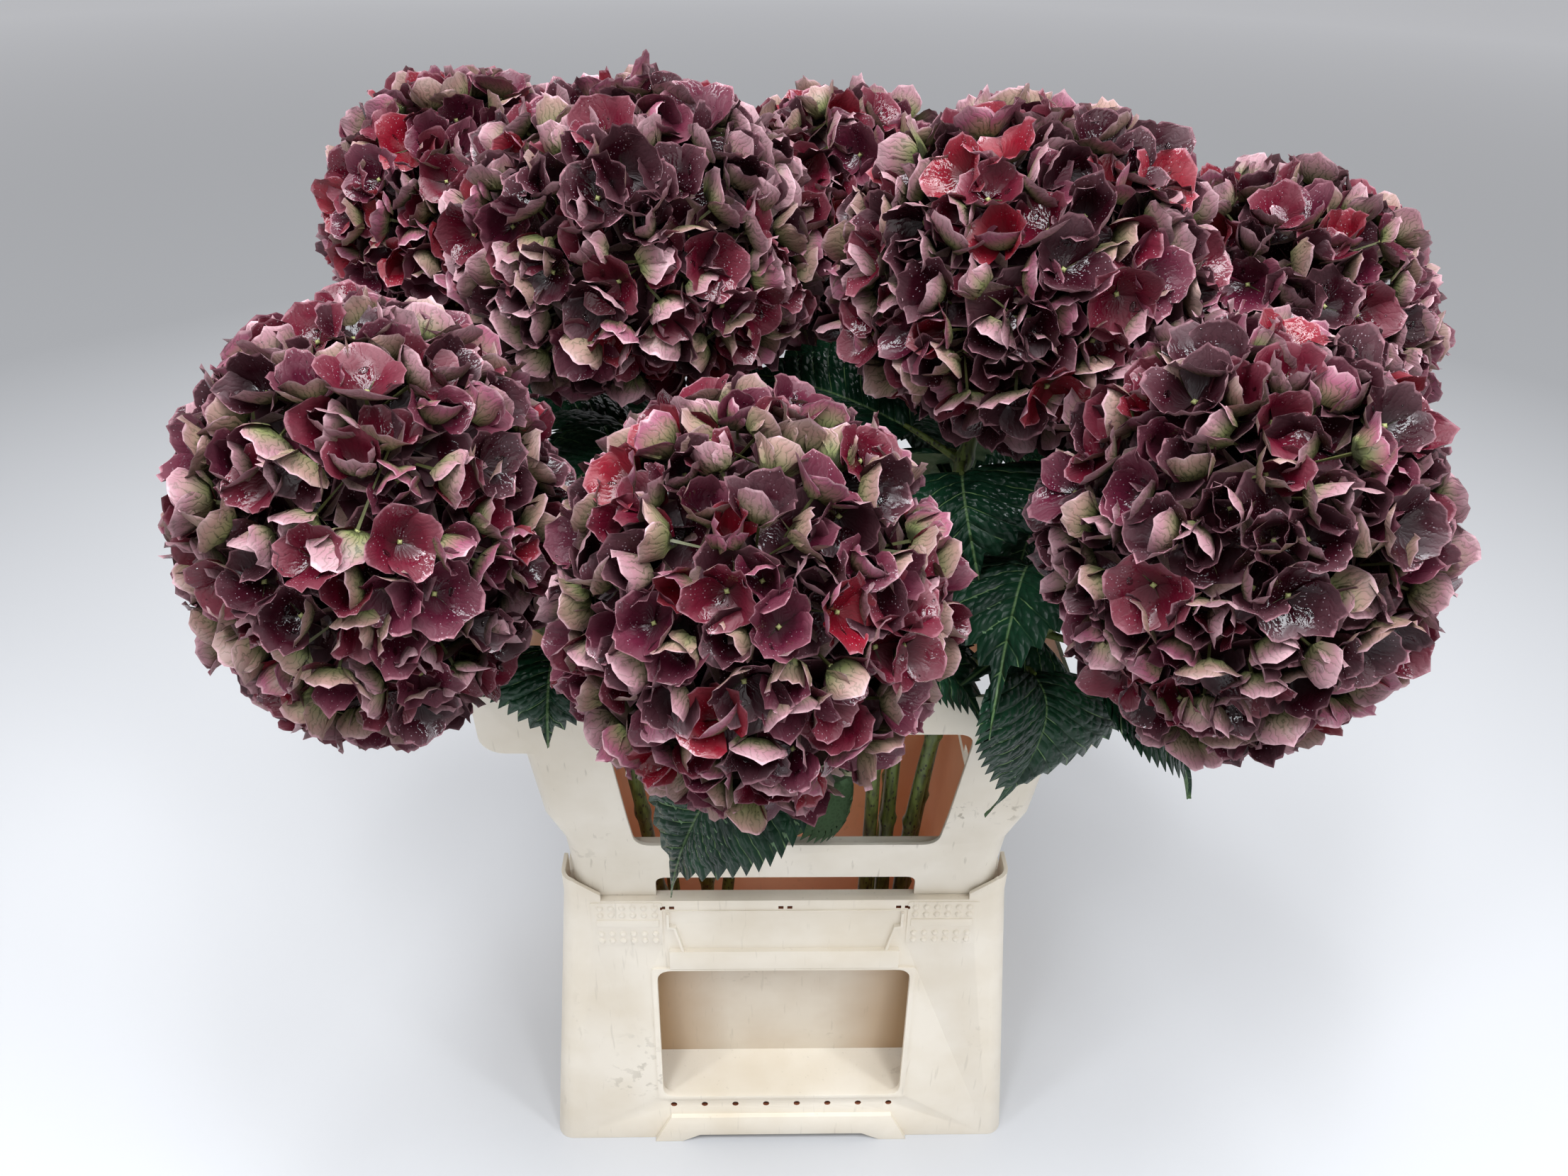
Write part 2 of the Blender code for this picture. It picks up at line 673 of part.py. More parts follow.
def build_head(name, shoot, path, neck_start):
    """A flower head: florets that stand out of a smaller core, with the neck of the stem."""
    rng = random.Random(SEED + list(SHOOTS).index(name))
    centre, axis = Vector(shoot.head), head_axis(shoot)
    half = Vector(shoot.half_size)
    planes = neighbours(name)

    core = bmesh.new()
    bmesh.ops.create_icosphere(core, subdivisions=2, radius=1.0)
    for vert in core.verts:
        out = vert.co.normalized()
        reach = Vector((out.x * half.x, out.y * half.y, out.z * half.z)) * CORE_SHARE
        reach *= underside(out, axis)
        for normal, limit in planes:
            ahead = reach.dot(normal)
            if ahead > limit - FLORET_CUP:
                reach *= (limit - FLORET_CUP) / ahead
        vert.co = centre + reach
    mesh = bpy.data.meshes.new("head_" + name)
    core.to_mesh(mesh)
    core.free()
    mesh.materials.append(material("petal"))
    head = bpy.data.objects.new("head_" + name, mesh)
    bpy.context.scene.collection.objects.link(head)

    pieces = [new_object("neck", *loft(tube(path, neck_start, path.length - NECK_END)))]
    mean = sum(shoot.half_size) / 3
    seat_share = math.sqrt(1 - (FLORET_HALF_WIDTH / mean) ** 2)
    for out in spiral_directions(FLORET_COUNT, axis, rng):
        seat = Vector((out.x * half.x, out.y * half.y, out.z * half.z)) * seat_share
        seat *= underside(out, axis) * rng.uniform(1 - FLORET_SINK, 1.0)
        facing = Vector((out.x / half.x, out.y / half.y, out.z / half.z)).normalized()
        turn = rng.uniform(0, math.tau)
        verts, faces = floret(centre + seat, facing, turn)
        back = 0.0
        for normal, limit in planes:
            over = max((vert - centre).dot(normal) for vert in verts) - limit
            if over > 0:
                back = max(back, over / max(facing.dot(normal), LEAST_FACING))
        if back > mean * FLORET_PUSH_LIMIT:
            continue
        verts = [vert - facing * back for vert in verts]
        pieces.append(new_object("floret", verts, faces))
    combine(head, pieces, "UNION", solver="MANIFOLD")
    keep_largest_shell(head)
    head.data.name = head.name
    return head


def build_shoot(name, shoot):
    """One stem with its joints, leaves and flower head, cut apart where the joints are."""
    path = Path(stem_path(shoot))
    joints = sorted(shoot.joints, key=lambda joint: -joint.below)
    start = 0.0
    parts = []
    for number, joint in enumerate(joints):
        distance = path.length - joint.below
        end = distance - JOINT_LENGTH / 2 - GAP
        suffix = "" if number == 0 else "_upper"
        rings = tube(path, start, end, level_start=number == 0)
        parts.append(new_object("stem_" + name + suffix, *loft(rings), kind="stem", smooth_angle=50))
        leaf_suffix = "" if number == len(joints) - 1 else "_lower"
        parts.append(build_joint("leaves_" + name + leaf_suffix, path, distance, joint.leaves))
        start = distance + JOINT_LENGTH / 2 + GAP
    parts.append(build_head(name, shoot, path, start))
    return parts


def main():
    for old in list(bpy.data.objects):
        bpy.data.objects.remove(old)
    build_bucket()
    build_collar()
    for name, shoot in SHOOTS.items():
        build_shoot(name, shoot)


main()
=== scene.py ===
"""Cut hydrangea stems in a plastic flower container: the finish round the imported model.

The file is laid out as a Blender add-on and is run as a script. Metres, +Z up. The origin is on
the floor under the middle of the bucket, whose front faces -Y.
"""

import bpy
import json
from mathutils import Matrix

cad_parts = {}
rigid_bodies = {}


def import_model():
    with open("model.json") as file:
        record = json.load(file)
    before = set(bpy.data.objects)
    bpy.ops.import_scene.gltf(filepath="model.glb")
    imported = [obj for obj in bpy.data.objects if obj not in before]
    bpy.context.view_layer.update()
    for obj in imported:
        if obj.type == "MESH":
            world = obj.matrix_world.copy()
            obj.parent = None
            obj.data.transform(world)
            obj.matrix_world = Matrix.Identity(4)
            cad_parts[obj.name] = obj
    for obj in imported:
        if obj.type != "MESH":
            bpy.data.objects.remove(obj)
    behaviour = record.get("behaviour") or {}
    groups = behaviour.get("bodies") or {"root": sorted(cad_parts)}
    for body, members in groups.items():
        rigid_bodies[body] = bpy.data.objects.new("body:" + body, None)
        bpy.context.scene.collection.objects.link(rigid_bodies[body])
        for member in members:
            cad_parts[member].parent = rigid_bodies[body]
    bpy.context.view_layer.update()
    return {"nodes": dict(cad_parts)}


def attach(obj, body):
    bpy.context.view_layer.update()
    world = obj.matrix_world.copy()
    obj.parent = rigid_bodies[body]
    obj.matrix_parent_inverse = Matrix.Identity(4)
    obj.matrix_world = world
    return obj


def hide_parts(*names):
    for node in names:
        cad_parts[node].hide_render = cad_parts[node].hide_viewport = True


bl_info = {
    "name": "Hydrangea stems in a flower container",
    "version": (1, 0, 0),
    "blender": (4, 5, 0),
    "location": "3D View > Sidebar > Hydrangea",
    "description": "Builds the container, stems, leaves and flower heads round the packed model",
    "category": "Object",
}

import json
import math
import random
from collections import namedtuple
from functools import partial

import bmesh
import bpy
import numpy as np
from mathutils import Matrix, Vector

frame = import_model()

BODY = "root"
GOLDEN_TURN = math.pi * (3 - math.sqrt(5))
STEM_SEED = 100
LEAF_SEED = 200

# The kinds of node that the finishes and the scattering use most
NOISE, CELLS, RAMP = "ShaderNodeTexNoise", "ShaderNodeTexVoronoi", "ShaderNodeValToRGB"
MATH, MIX, BUMP = "ShaderNodeMath", "ShaderNodeMix", "ShaderNodeBump"
MAPPING, SPLIT = "ShaderNodeMapping", "ShaderNodeSeparateXYZ"
ATTRIBUTE = "GeometryNodeInputNamedAttribute"

# The bucket and the collar, from the same named sizes as their solids
FOOT_SIZE = (0.400, 0.300)
RIM_SIZE = (0.348, 0.256)
BUCKET_HEIGHT = 0.2865
TUB_RIM_SIZE = (0.332, 0.240)
TUB_FLOOR_SIZE = (0.276, 0.192)
LEDGE_HEIGHT = 0.058
CORNER_RADIUS = 0.014
ARC_STEPS = 9
RING_COUNT = 4 * (ARC_STEPS + 1)
POST_HEIGHT = 0.022
POST_LEG = 0.030
RECESS_TOP = 0.212
RECESS_HALF_WIDTHS = {"Y": 0.103, "X": 0.060}
RECESS_ROUNDING = 0.012
RECESS_BORDER = 0.0045
LABEL_HALF_WIDTH = 0.092
LABEL_SHELF = (0.2165, 0.2355)
LABEL_TOP = 0.2755
GAP = 0.0003
COLLAR_OUTLINE = (
    (BUCKET_HEIGHT + GAP, 0.1660, 0.1220),
    (0.320, 0.1655, 0.1245),
    (0.352, 0.1670, 0.1300),
    (0.368, 0.1725, 0.1330),
    (0.385, 0.1780, 0.1370),
    (0.455, 0.1840, 0.1470),
    (0.513, 0.1890, 0.1550),
)
WINDOW_HEIGHTS = (0.349, 0.476)
WINDOW_HALF_WIDTHS = {"Y": (0.1137, 0.1260), "X": (0.060, 0.070)}
WINDOW_ROUNDING = 0.013
WINDOW_LEDGE = (0.3435, 0.3465, 0.009)
LEDGE_OVERLAP = 0.004
NOTCH_TOP = 0.308
NOTCH_HALF_WIDTHS = {"Y": 0.101, "X": 0.034}
NOTCH_ROUNDING = 0.008
EAR_BOTTOM = 0.457
EAR_REACH = 0.2105
EAR_ROUNDING = 0.016
EAR_TOP_ROUNDING = 0.006
EAR_ROOT = 0.022
EAR_INSET = 0.0001

# Cutters: how far they reach and clear what they cut, their bite into the tub, and some outlines
CUT_REACH = 0.3
CLEAR = 0.001
RECESS_BITE = 0.002
POST_SLOPE = (0.137, 0.165)
FOOT_ARCH = ((-0.090, -0.001), (0.090, -0.001), (0.072, 0.0085), (-0.072, 0.0085))
COLLAR_NICK = ((0.1535, 0.286), (0.170, 0.286), (0.170, 0.302))

# Raised plates by the rim: their outline, a bare bar across them, and rows of small domes
PLATE = (0.0965, 0.1525, 0.2400, 0.2850)
PLATE_BAR = (0.0995, 0.1480, 0.2600, 0.2675)
PLATE_ROUNDING = 0.002
DOME_ROWS = (0.2450, 0.2525, 0.2725, 0.2800)
DOME_COLUMNS = 6
DOME_RADIUS = 0.0029

# Small holes: a row of drain holes, and pairs of slots under the rim
DRAIN_HOLES = 8
DRAIN_SPACING = 0.027
DRAIN_RADIUS = 0.0028
DRAIN_HEIGHT = 0.045
SLOT_MIDDLES = (-0.0925, 0.0, 0.0925)
SLOT_OFFSETS = (-0.0055, 0.0015)
SLOT_WIDTH = 0.004
SLOT_HEIGHTS = (0.2778, 0.2806)

# Slabs on the skirt: how deep they are rooted, and how far each kind stands proud
SLAB_ROOT = 0.0015
FRAME_ROUNDING = 0.004
FRAME_PROUD = 0.0020
FOOT_LIP = ((-0.112, 0.0), (0.112, 0.0), (0.097, 0.032), (-0.097, 0.032))
LABEL_LINE = (0.094, 0.0012)
LABEL_BRACKET = (
    (0.0932, LABEL_TOP), (0.0932, 0.2600), (0.0880, 0.2588), (0.0822, 0.2350),
    (0.0800, 0.2350), (0.0862, 0.2608), (0.0912, 0.2620), (0.0912, LABEL_TOP),
)
LIP_PROUD = 0.0040
SHELF_PROUD = 0.0040
LINE_PROUD = 0.0010
BRACKET_PROUD = 0.0035
PLATE_PROUD = 0.0008
BAR_PROUD = 0.0015

# Soiled places on the collar's front, and how far each reaches
SMUDGES = (
    ((0.125, -0.146, 0.385), 0.024), ((0.158, -0.147, 0.390), 0.020), ((0.122, -0.146, 0.350), 0.014),
    ((-0.130, -0.146, 0.360), 0.018),
)

# The stems and leaves, as in their solids
STEM_RADIUS_FOOT = 0.0062
STEM_RADIUS_TIP = 0.0046
STEM_FOOT_HEIGHT = 0.003 + GAP
RIM_HEIGHT = 0.480
CURVE_STEPS = 40
TANGENT_STEP = 0.002
NECK_LENGTH = 0.115
LEAF_ROOT_DROP = 0.004
LEAN = 1.15
PETIOLE_SHARE = 0.22
LEAF_FOLD = 0.10

# A stem's joints: the lowest one, how far each swells, and the ring scar above it
LOWEST_JOINT = 0.03
JOINT_REACH = 0.0060
SCAR_ABOVE = 0.005
SCAR_REACH = 0.0018

# A leaf's blade: its rows of points, outline, thickness and ruffled edge, and its petiole
LEAF_CHORDS = 40
LEAF_COLUMNS = (-1.0, -0.88, -0.70, -0.50, -0.30, -0.13, 0.0, 0.13, 0.30, 0.50, 0.70, 0.88, 1.0)
OVAL_END = 0.85
DRIP_WIDTH = 0.095
LEAST_HALF_WIDTH = 0.0006
BLADE_THICKNESS = 0.0006
EDGE_THICKNESS = 0.0004
TROUGH_WIDTH = 0.0022
RUFFLE_HEIGHT = 0.0022
RUFFLE_LENGTH = 0.017
PETIOLE_RADIUS = 0.0030
PETIOLE_TAPER = 0.0013

# The pattern on a leaf: its veins, the puffs between them, and the length that its UV map is in
VEIN_SLOPE = 0.85
VEIN_CURVE = 6.0
MIDRIB_HALF_WIDTH = 0.0011
PUFF_WIDTH = 0.0062
UV_METRE = 0.1

# The flower heads, as their solids: their flatter underside, and how they keep clear of others
HUB_SHARE = 0.62
UNDERSIDE_SHARE = 0.22
UNDERSIDE_START = 105
UNDERSIDE_SPAN = 60
NEIGHBOUR_REACH = 1.15
HEAD_CLEARANCE = 0.0006

Shoot = namedtuple("Shoot", "head half_size foot rim joints")
Joint = namedtuple("Joint", "below leaves")
Leaf = namedtuple("Leaf", "over tip width")

# For each shoot: the middle and half sizes of its flower head, the place of its cut end on the
# bucket's floor, its place at the height of the collar's rim, and its joints. A joint lies a
# distance below the head's middle, and each of its leaves arches over a point to its tip. The
# leaf under the front head is a little broader and straighter than its solid.
SHOOTS = {
    "front_left": Shoot(
        (-0.2355, -0.1784, 0.6543), (0.107, 0.114, 0.133), (-0.088, -0.050), (-0.128, -0.104),
        [Joint(0.150, [
            Leaf((-0.150, -0.195, 0.575), (-0.158, -0.178, 0.488), 0.080),
            Leaf((-0.110, -0.080, 0.650), (-0.070, -0.105, 0.585), 0.075),
        ])],
    ),
    "front_centre": Shoot(
        (-0.0264, -0.2119, 0.6290), (0.115, 0.118, 0.124), (0.066, -0.066), (0.060, -0.116),
        [Joint(0.148, [
            Leaf((-0.060, -0.236, 0.550), (-0.086, -0.177, 0.345), 0.128),
            Leaf((0.085, -0.150, 0.580), (0.128, -0.173, 0.500), 0.078),
        ]), Joint(0.270, [
            Leaf((0.022, -0.092, 0.460), (-0.035, -0.090, 0.364), 0.060),
        ])],
    ),
    "front_right": Shoot(
        (0.2370, -0.2033, 0.6642), (0.110, 0.112, 0.128), (0.094, -0.056), (0.110, -0.114),
        [Joint(0.140, [
            Leaf((0.154, -0.090, 0.655), (0.112, -0.234, 0.546), 0.114),
            Leaf((0.232, -0.190, 0.568), (0.256, -0.206, 0.470), 0.098),
        ]), Joint(0.178, [
            Leaf((0.190, -0.207, 0.564), (0.130, -0.190, 0.438), 0.132),
        ])],
    ),
    "middle_left": Shoot(
        (-0.0982, -0.0109, 0.7580), (0.119, 0.119, 0.107), (-0.062, -0.026), (-0.074, -0.030),
        [Joint(0.136, [
            Leaf((-0.040, -0.055, 0.690), (-0.010, -0.085, 0.622), 0.104),
            Leaf((-0.155, 0.005, 0.680), (-0.212, 0.005, 0.598), 0.102),
            Leaf((-0.145, -0.060, 0.662), (-0.180, -0.080, 0.560), 0.100),
        ])],
    ),
    "middle_centre": Shoot(
        (0.1344, -0.0658, 0.7573), (0.116, 0.116, 0.110), (0.084, -0.078), (0.083, -0.090),
        [Joint(0.112, [
            Leaf((0.094, -0.142, 0.674), (0.115, -0.146, 0.598), 0.126),
            Leaf((0.035, -0.045, 0.690), (-0.040, 0.020, 0.665), 0.105),
        ])],
    ),
    "middle_right": Shoot(
        (0.3200, 0.0236, 0.6830), (0.126, 0.126, 0.128), (0.098, -0.020), (0.148, -0.004),
        [Joint(0.150, [
            Leaf((0.165, -0.030, 0.605), (0.150, -0.095, 0.510), 0.095),
            Leaf((0.290, 0.050, 0.585), (0.345, 0.070, 0.515), 0.090),
        ])],
    ),
    "back_left": Shoot(
        (-0.2385, 0.1598, 0.7193), (0.115, 0.115, 0.115), (-0.094, 0.020), (-0.134, 0.082),
        [Joint(0.146, [
            Leaf((-0.250, 0.100, 0.620), (-0.290, 0.080, 0.530), 0.085),
            Leaf((-0.150, 0.170, 0.610), (-0.120, 0.205, 0.520), 0.085),
            Leaf((-0.150, 0.080, 0.645), (-0.125, 0.025, 0.585), 0.095),
            Leaf((-0.190, 0.092, 0.672), (-0.208, 0.052, 0.606), 0.080),
        ])],
    ),
    "back_centre": Shoot(
        (0.0380, 0.1650, 0.7060), (0.120, 0.120, 0.120), (-0.060, 0.040), (-0.012, 0.098),
        [Joint(0.146, [
            Leaf((-0.030, 0.180, 0.600), (-0.045, 0.225, 0.500), 0.085),
            Leaf((0.060, 0.170, 0.590), (0.100, 0.215, 0.505), 0.085),
            Leaf((0.082, 0.060, 0.668), (0.120, -0.036, 0.592), 0.110),
        ])],
    ),
    "back_right": Shoot(
        (0.2400, 0.2000, 0.6300), (0.120, 0.120, 0.120), (0.090, 0.034), (0.126, 0.108),
        [Joint(0.146, [
            Leaf((0.230, 0.090, 0.590), (0.280, 0.080, 0.490), 0.085),
            Leaf((0.150, 0.190, 0.570), (0.170, 0.235, 0.460), 0.085),
            Leaf((0.170, 0.110, 0.610), (0.125, 0.045, 0.560), 0.095),
        ])],
    ),
}

# Small leaves in the shade of the large ones, by shoot and joint; they have no solid of their own
SMALL_LEAVES = {
    ("front_centre", 0): [Leaf((0.034, -0.108, 0.384), (-0.026, -0.112, 0.362), 0.084)],
    ("front_right", 0): [Leaf((0.188, -0.132, 0.578), (0.102, -0.168, 0.528), 0.085)],
    ("middle_centre", 0): [Leaf((0.100, -0.035, 0.655), (0.095, 0.015, 0.555), 0.100)],
}

# Finishes of the sepals, by number: the inner faces and the backs, and the pairs that occur
INSIDES = ("wine", "black_wine", "plum", "crimson")
BACKS = ("dusty_pink", "olive_pink", "rose")
FINISHES = INSIDES + BACKS
FLORET_TONES = (
    ("wine", "dusty_pink"), ("black_wine", "dusty_pink"), ("plum", "rose"), ("crimson", "rose"),
    ("wine", "olive_pink"), ("black_wine", "olive_pink"), ("plum", "dusty_pink"), ("plum", "olive_pink"),
)
# How often each floret tone comes up in a head
TONE_WEIGHTS = {
    "front_left": (5, 4, 3, 1, 4, 2, 2, 3),
    "front_centre": (4, 3, 3, 2, 4, 3, 2, 3),
    "front_right": (3, 10, 2, 1, 2, 5, 1, 1),
    "middle_left": (5, 8, 2, 3, 1, 4, 1, 1),
    "middle_centre": (5, 8, 2, 3, 2, 4, 1, 0),
    "middle_right": (4, 3, 5, 2, 2, 1, 4, 1),
    "back_left": (2, 1, 2, 3, 6, 1, 2, 4),
    "back_centre": (4, 4, 3, 3, 3, 1, 2, 1),
    "back_right": (4, 3, 3, 1, 3, 2, 2, 2),
}

# The florets: how steep their sepals stand in degrees, their rows and columns, and their bends
OPENINGS = (42, 54, 65, 75)
SHAPES_PER_TONE = len(OPENINGS)
SEPAL_ROWS = (0.0, 0.26, 0.52, 0.78, 1.0)
SEPAL_COLUMNS = (-1.0, -0.66, -0.33, 0.0, 0.33, 0.66, 1.0)
BEND_STEPS = 24
FOLDED_SHARE = 0.12
LIP_TURN = (-52, 40)
SEPAL_FOOT = 0.0012
LEAST_BEND = 0.0085
WALL_FULL = 0.42
LIP_START = 0.68
BROADEST = 0.66

# Beads and flat pools of water on a sepal: the radius of each, and how much longer than wide it is
WATER = (
    (), ((0.0005, 1.0),), ((0.0008, 1.3), (0.0005, 1.0)), ((0.0005, 1.0), (0.0006, 1.3)),
    ((0.0018, 2.0), (0.0006, 1.0)), ((0.0014, 2.6), (0.0007, 1.4)),
)
POOL_STRETCH = 2

# Where florets sit in a head: how far round it they go, and how deep each shape is seated
FLORET_SPREAD = 1.80
SEAT_DEPTHS = (0.0135, 0.0160, 0.0180, 0.0192)
SEAT_GAP = 0.006
LEAST_SEAT = 0.45
TILT = 0.36

# The inner layer of broad dark florets, and the branches inside a head
INNER_SHAPES = 3
INNER_COUNT = 150
INNER_OPENING = 30
INNER_REACH = (0.52, 0.72)
INNER_SPREAD = 1.7
INNER_ROWS = (0.0, 0.5, 1.0)
INNER_COLUMNS = (-1.0, 0.0, 1.0)
BRANCH_COUNT = 16
BRANCH_SPREAD = 1.5
BRANCH_REACH = 0.52

# The camera, in the photograph's own pixels
PHOTO_WIDTH = 2212
FOCAL_PIXELS = 1662
SENSOR_WIDTH = 36
CAMERA_PLACE = (-0.0250, -0.7536, 1.0030)
CAMERA_PITCH = 34.0
CAMERA_YAW = 1.75
CAMERA_ROLL = 1.1

# The floor's top lies just under the foot; four long lights overhead give the streaks of gloss
FLOOR_DROP = 0.0002
STRIP_COUNT = 4
STRIP_SPACING = 0.75
STRIP_SIZE = (0.30, 2.2)
COOL_WHITE = (0.92, 0.96, 1.0)
GLOW_PLACE = (0, 0.02, 0.20)
GLOW_RADIUS = 0.09


def linear(code):
    """An sRGB hex colour as linear red, green and blue."""
    parts = [int(code[i:i + 2], 16) / 255 for i in (1, 3, 5)]
    return tuple(c / 12.92 if c <= 0.04045 else ((c + 0.055) / 1.055) ** 2.4 for c in parts)


def colour_property(name, description, code):
    """A colour that a user may change, from its sRGB hex value."""
    return bpy.props.FloatVectorProperty(
        name=name, description=description, subtype="COLOR", default=linear(code))


def length_property(name, description, metres):
    """A length that a user may change."""
    return bpy.props.FloatProperty(
        name=name, description=description, default=metres, unit="LENGTH")


def power_property(name, description, watts):
    """A lamp's power that a user may change."""
    return bpy.props.FloatProperty(
        name=name, description=description, default=watts, unit="POWER")


def rgba(colour):
    """A linear colour, or a grey given as one number, with full opacity."""
    parts = [colour] * 3 if isinstance(colour, (int, float)) else colour[:3]
    return (*parts, 1.0)


def feed(target, inputs):
    """Gives a node's inputs their values, or links them from sockets or nodes' first outputs."""
    for key, value in inputs.items() if isinstance(inputs, dict) else enumerate(inputs):
        source = value.outputs[0] if isinstance(value, bpy.types.Node) else value
        if isinstance(source, bpy.types.NodeSocket):
            target.id_data.links.new(source, target.inputs[key])
        else:
            target.inputs[key].default_value = source


def node(tree, kind, inputs=(), stops=(), **settings):
    """Adds a node with its settings, its inputs and, on a ramp, its (position, colour) stops."""
    made = tree.nodes.new(kind)
    for key, value in settings.items():
        setattr(made, key, value)
    feed(made, inputs)
    if stops:
        elements = made.color_ramp.elements
        while len(elements) < len(stops):
            elements.new(0.5)
        for element, (position, colour) in zip(elements, stops):
            element.position = position
            element.color = rgba(colour)
    return made


def start_material(name, values):
    """A new material, a way to add nodes to it, its Object coordinates, and its shader."""
    made = bpy.data.materials.new(name)
    made.use_nodes = True
    add = partial(node, made.node_tree)
    shader = made.node_tree.nodes["Principled BSDF"]
    feed(shader, values)
    return made, add, add("ShaderNodeTexCoord").outputs["Object"], shader


def start_tree(name, **inputs):
    """A Geometry Nodes tree, a way to add nodes to it, and its named inputs."""
    tree = bpy.data.node_groups.new(name, "GeometryNodeTree")
    tree.interface.new_socket("Geometry", in_out="OUTPUT", socket_type="NodeSocketGeometry")
    for label, kind in inputs.items():
        tree.interface.new_socket(label, in_out="INPUT", socket_type="NodeSocket" + kind)
    add = partial(node, tree)
    return tree, add, add("NodeGroupInput").outputs


def link_object(name, data):
    """A new object in the scene, at the origin."""
    made = bpy.data.objects.new(name, data)
    bpy.context.scene.collection.objects.link(made)
    return made


def circle(count):
    """Points round a unit circle, as (cosine, sine)."""
    angles = (math.tau * k / count for k in range(count))
    return [(math.cos(a), math.sin(a)) for a in angles]


def new_object(name, verts, faces, materials=(), smooth_angle=None):
    """An object from points and faces, with its faces turned outwards."""
    mesh = bpy.data.meshes.new(name)
    mesh.from_pydata([tuple(v) for v in verts], [], faces)
    shape = bmesh.new()
    shape.from_mesh(mesh)
    bmesh.ops.recalc_face_normals(shape, faces=shape.faces)
    shape.to_mesh(mesh)
    shape.free()
    for material in materials:
        mesh.materials.append(material)
    if smooth_angle:
        mesh.shade_smooth()
        mesh.set_sharp_from_angle(angle=math.radians(smooth_angle))
    return link_object(name, mesh)


def loft(rings, ring_like=False):
    """Points and faces of a skin over equal rings: capped at both ends, or joined end to end."""
    count = len(rings[0])
    verts = [point for ring in rings for point in ring]
    faces = []
    spans = len(rings) if ring_like else len(rings) - 1
    for span in range(spans):
        here, there = span * count, (span + 1) % len(rings) * count
        for i in range(count):
            j = (i + 1) % count
            faces.append((here + i, here + j, there + j, there + i))
    if not ring_like:
        last = (len(rings) - 1) * count
        faces.append(tuple(range(count))[::-1])
        faces.append(tuple(range(last, last + count)))
    return verts, faces


def rounded_ring(half_x, half_y, z, radius=CORNER_RADIUS):
    """A level rounded rectangle, anticlockwise from above."""
    ring = []
    for quarter, (sign_x, sign_y) in enumerate(((1, 1), (-1, 1), (-1, -1), (1, -1))):
        for step in range(ARC_STEPS + 1):
            angle = math.radians(90 * (quarter + step / ARC_STEPS))
            x = sign_x * (half_x - radius) + radius * math.cos(angle)
            y = sign_y * (half_y - radius) + radius * math.sin(angle)
            ring.append(Vector((x, y, z)))
    return ring


def rounded_outline(corners, radius, steps=6):
    """The outline of a polygon in a plane, each of its corners rounded by an arc of chords."""
    outline = []
    for i, corner in enumerate(corners):
        here = Vector(corner)
        before = (Vector(corners[i - 1]) - here).normalized() * radius
        after = (Vector(corners[(i + 1) % len(corners)]) - here).normalized() * radius
        for step in range(steps + 1):
            t = step / steps
            outline.append(here + before * (1 - t) ** 2 + after * t ** 2)
    return outline


def rectangle(low_x, high_x, low_z, high_z):
    """The corners of an upright rectangle, as (across, height)."""
    return [(low_x, low_z), (high_x, low_z), (high_x, high_z), (low_x, high_z)]


def prism(outline, axis, start, end):
    """A cutter: an outline of (across, height) points pushed along X or Y."""
    rings = []
    for reach in (start, end):
        if axis == "Y":
            rings.append([Vector((across, reach, height)) for across, height in outline])
        else:
            rings.append([Vector((reach, across, height)) for across, height in outline])
    return new_object("cutter", *loft(rings))


def apply_modifiers(target):
    """Turns an object's evaluated mesh into its own."""
    graph = bpy.context.evaluated_depsgraph_get()
    done = bpy.data.meshes.new_from_object(target.evaluated_get(graph))
    target.modifiers.clear()
    old = target.data
    target.data = done
    bpy.data.meshes.remove(old)
    done.name = target.name


def combine(target, others, operation):
    """Joins or cuts a target with a collection of objects in one Boolean, then removes them."""
    group = bpy.data.collections.new(target.name + "_group")
    bpy.context.scene.collection.children.link(group)
    for other in others:
        bpy.context.scene.collection.objects.unlink(other)
        group.objects.link(other)
    change = target.modifiers.new(operation.lower(), "BOOLEAN")
    change.operation = operation
    change.operand_type = "COLLECTION"
    change.collection = group
    change.solver = "EXACT"
    change.material_mode = "INDEX"
    apply_modifiers(target)
    for other in others:
        bpy.data.objects.remove(other)
    bpy.data.collections.remove(group)


def round_edges(target, width, segments=2, angle=32):
    """Rounds a moulding's sharp edges a little, and shades it smooth."""
    shape = bmesh.new()
    shape.from_mesh(target.data)
    bmesh.ops.remove_doubles(shape, verts=shape.verts, dist=0.00002)
    shape.to_mesh(target.data)
    shape.free()
    bevel = target.modifiers.new("edges", "BEVEL")
    bevel.width = width
    bevel.segments = segments
    bevel.limit_method = "ANGLE"
    bevel.angle_limit = math.radians(angle)
    bevel.harden_normals = False
    apply_modifiers(target)
    target.data.shade_smooth()
    target.data.set_sharp_from_angle(angle=math.radians(angle))


def settle(piece, slot, *nodes):
    """Makes a finished piece ride on the body and hides the model's parts that it stands for; its slot is
    not used.
    """
    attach(piece, BODY)
    if nodes:
        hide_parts(*nodes)


def half_at(size_low, size_high, height):
    """Half sizes of a straight flare between the floor and the rim, at a height."""
    share = height / BUCKET_HEIGHT
    return [(low + (high - low) * share) / 2 for low, high in zip(size_low, size_high)]


def skirt_half_y(height):
    """The skirt's half depth at a height."""
    return half_at(FOOT_SIZE, RIM_SIZE, height)[1]


def collar_half(height, axis):
    """The collar's half size along an axis at a height, along its outline."""
    column = {"X": 1, "Y": 2}[axis]
    for low, high in zip(COLLAR_OUTLINE, COLLAR_OUTLINE[1:]):
        if height <= high[0]:
            share = (height - low[0]) / (high[0] - low[0])
            return low[column] + (high[column] - low[column]) * share
    return COLLAR_OUTLINE[-1][column]


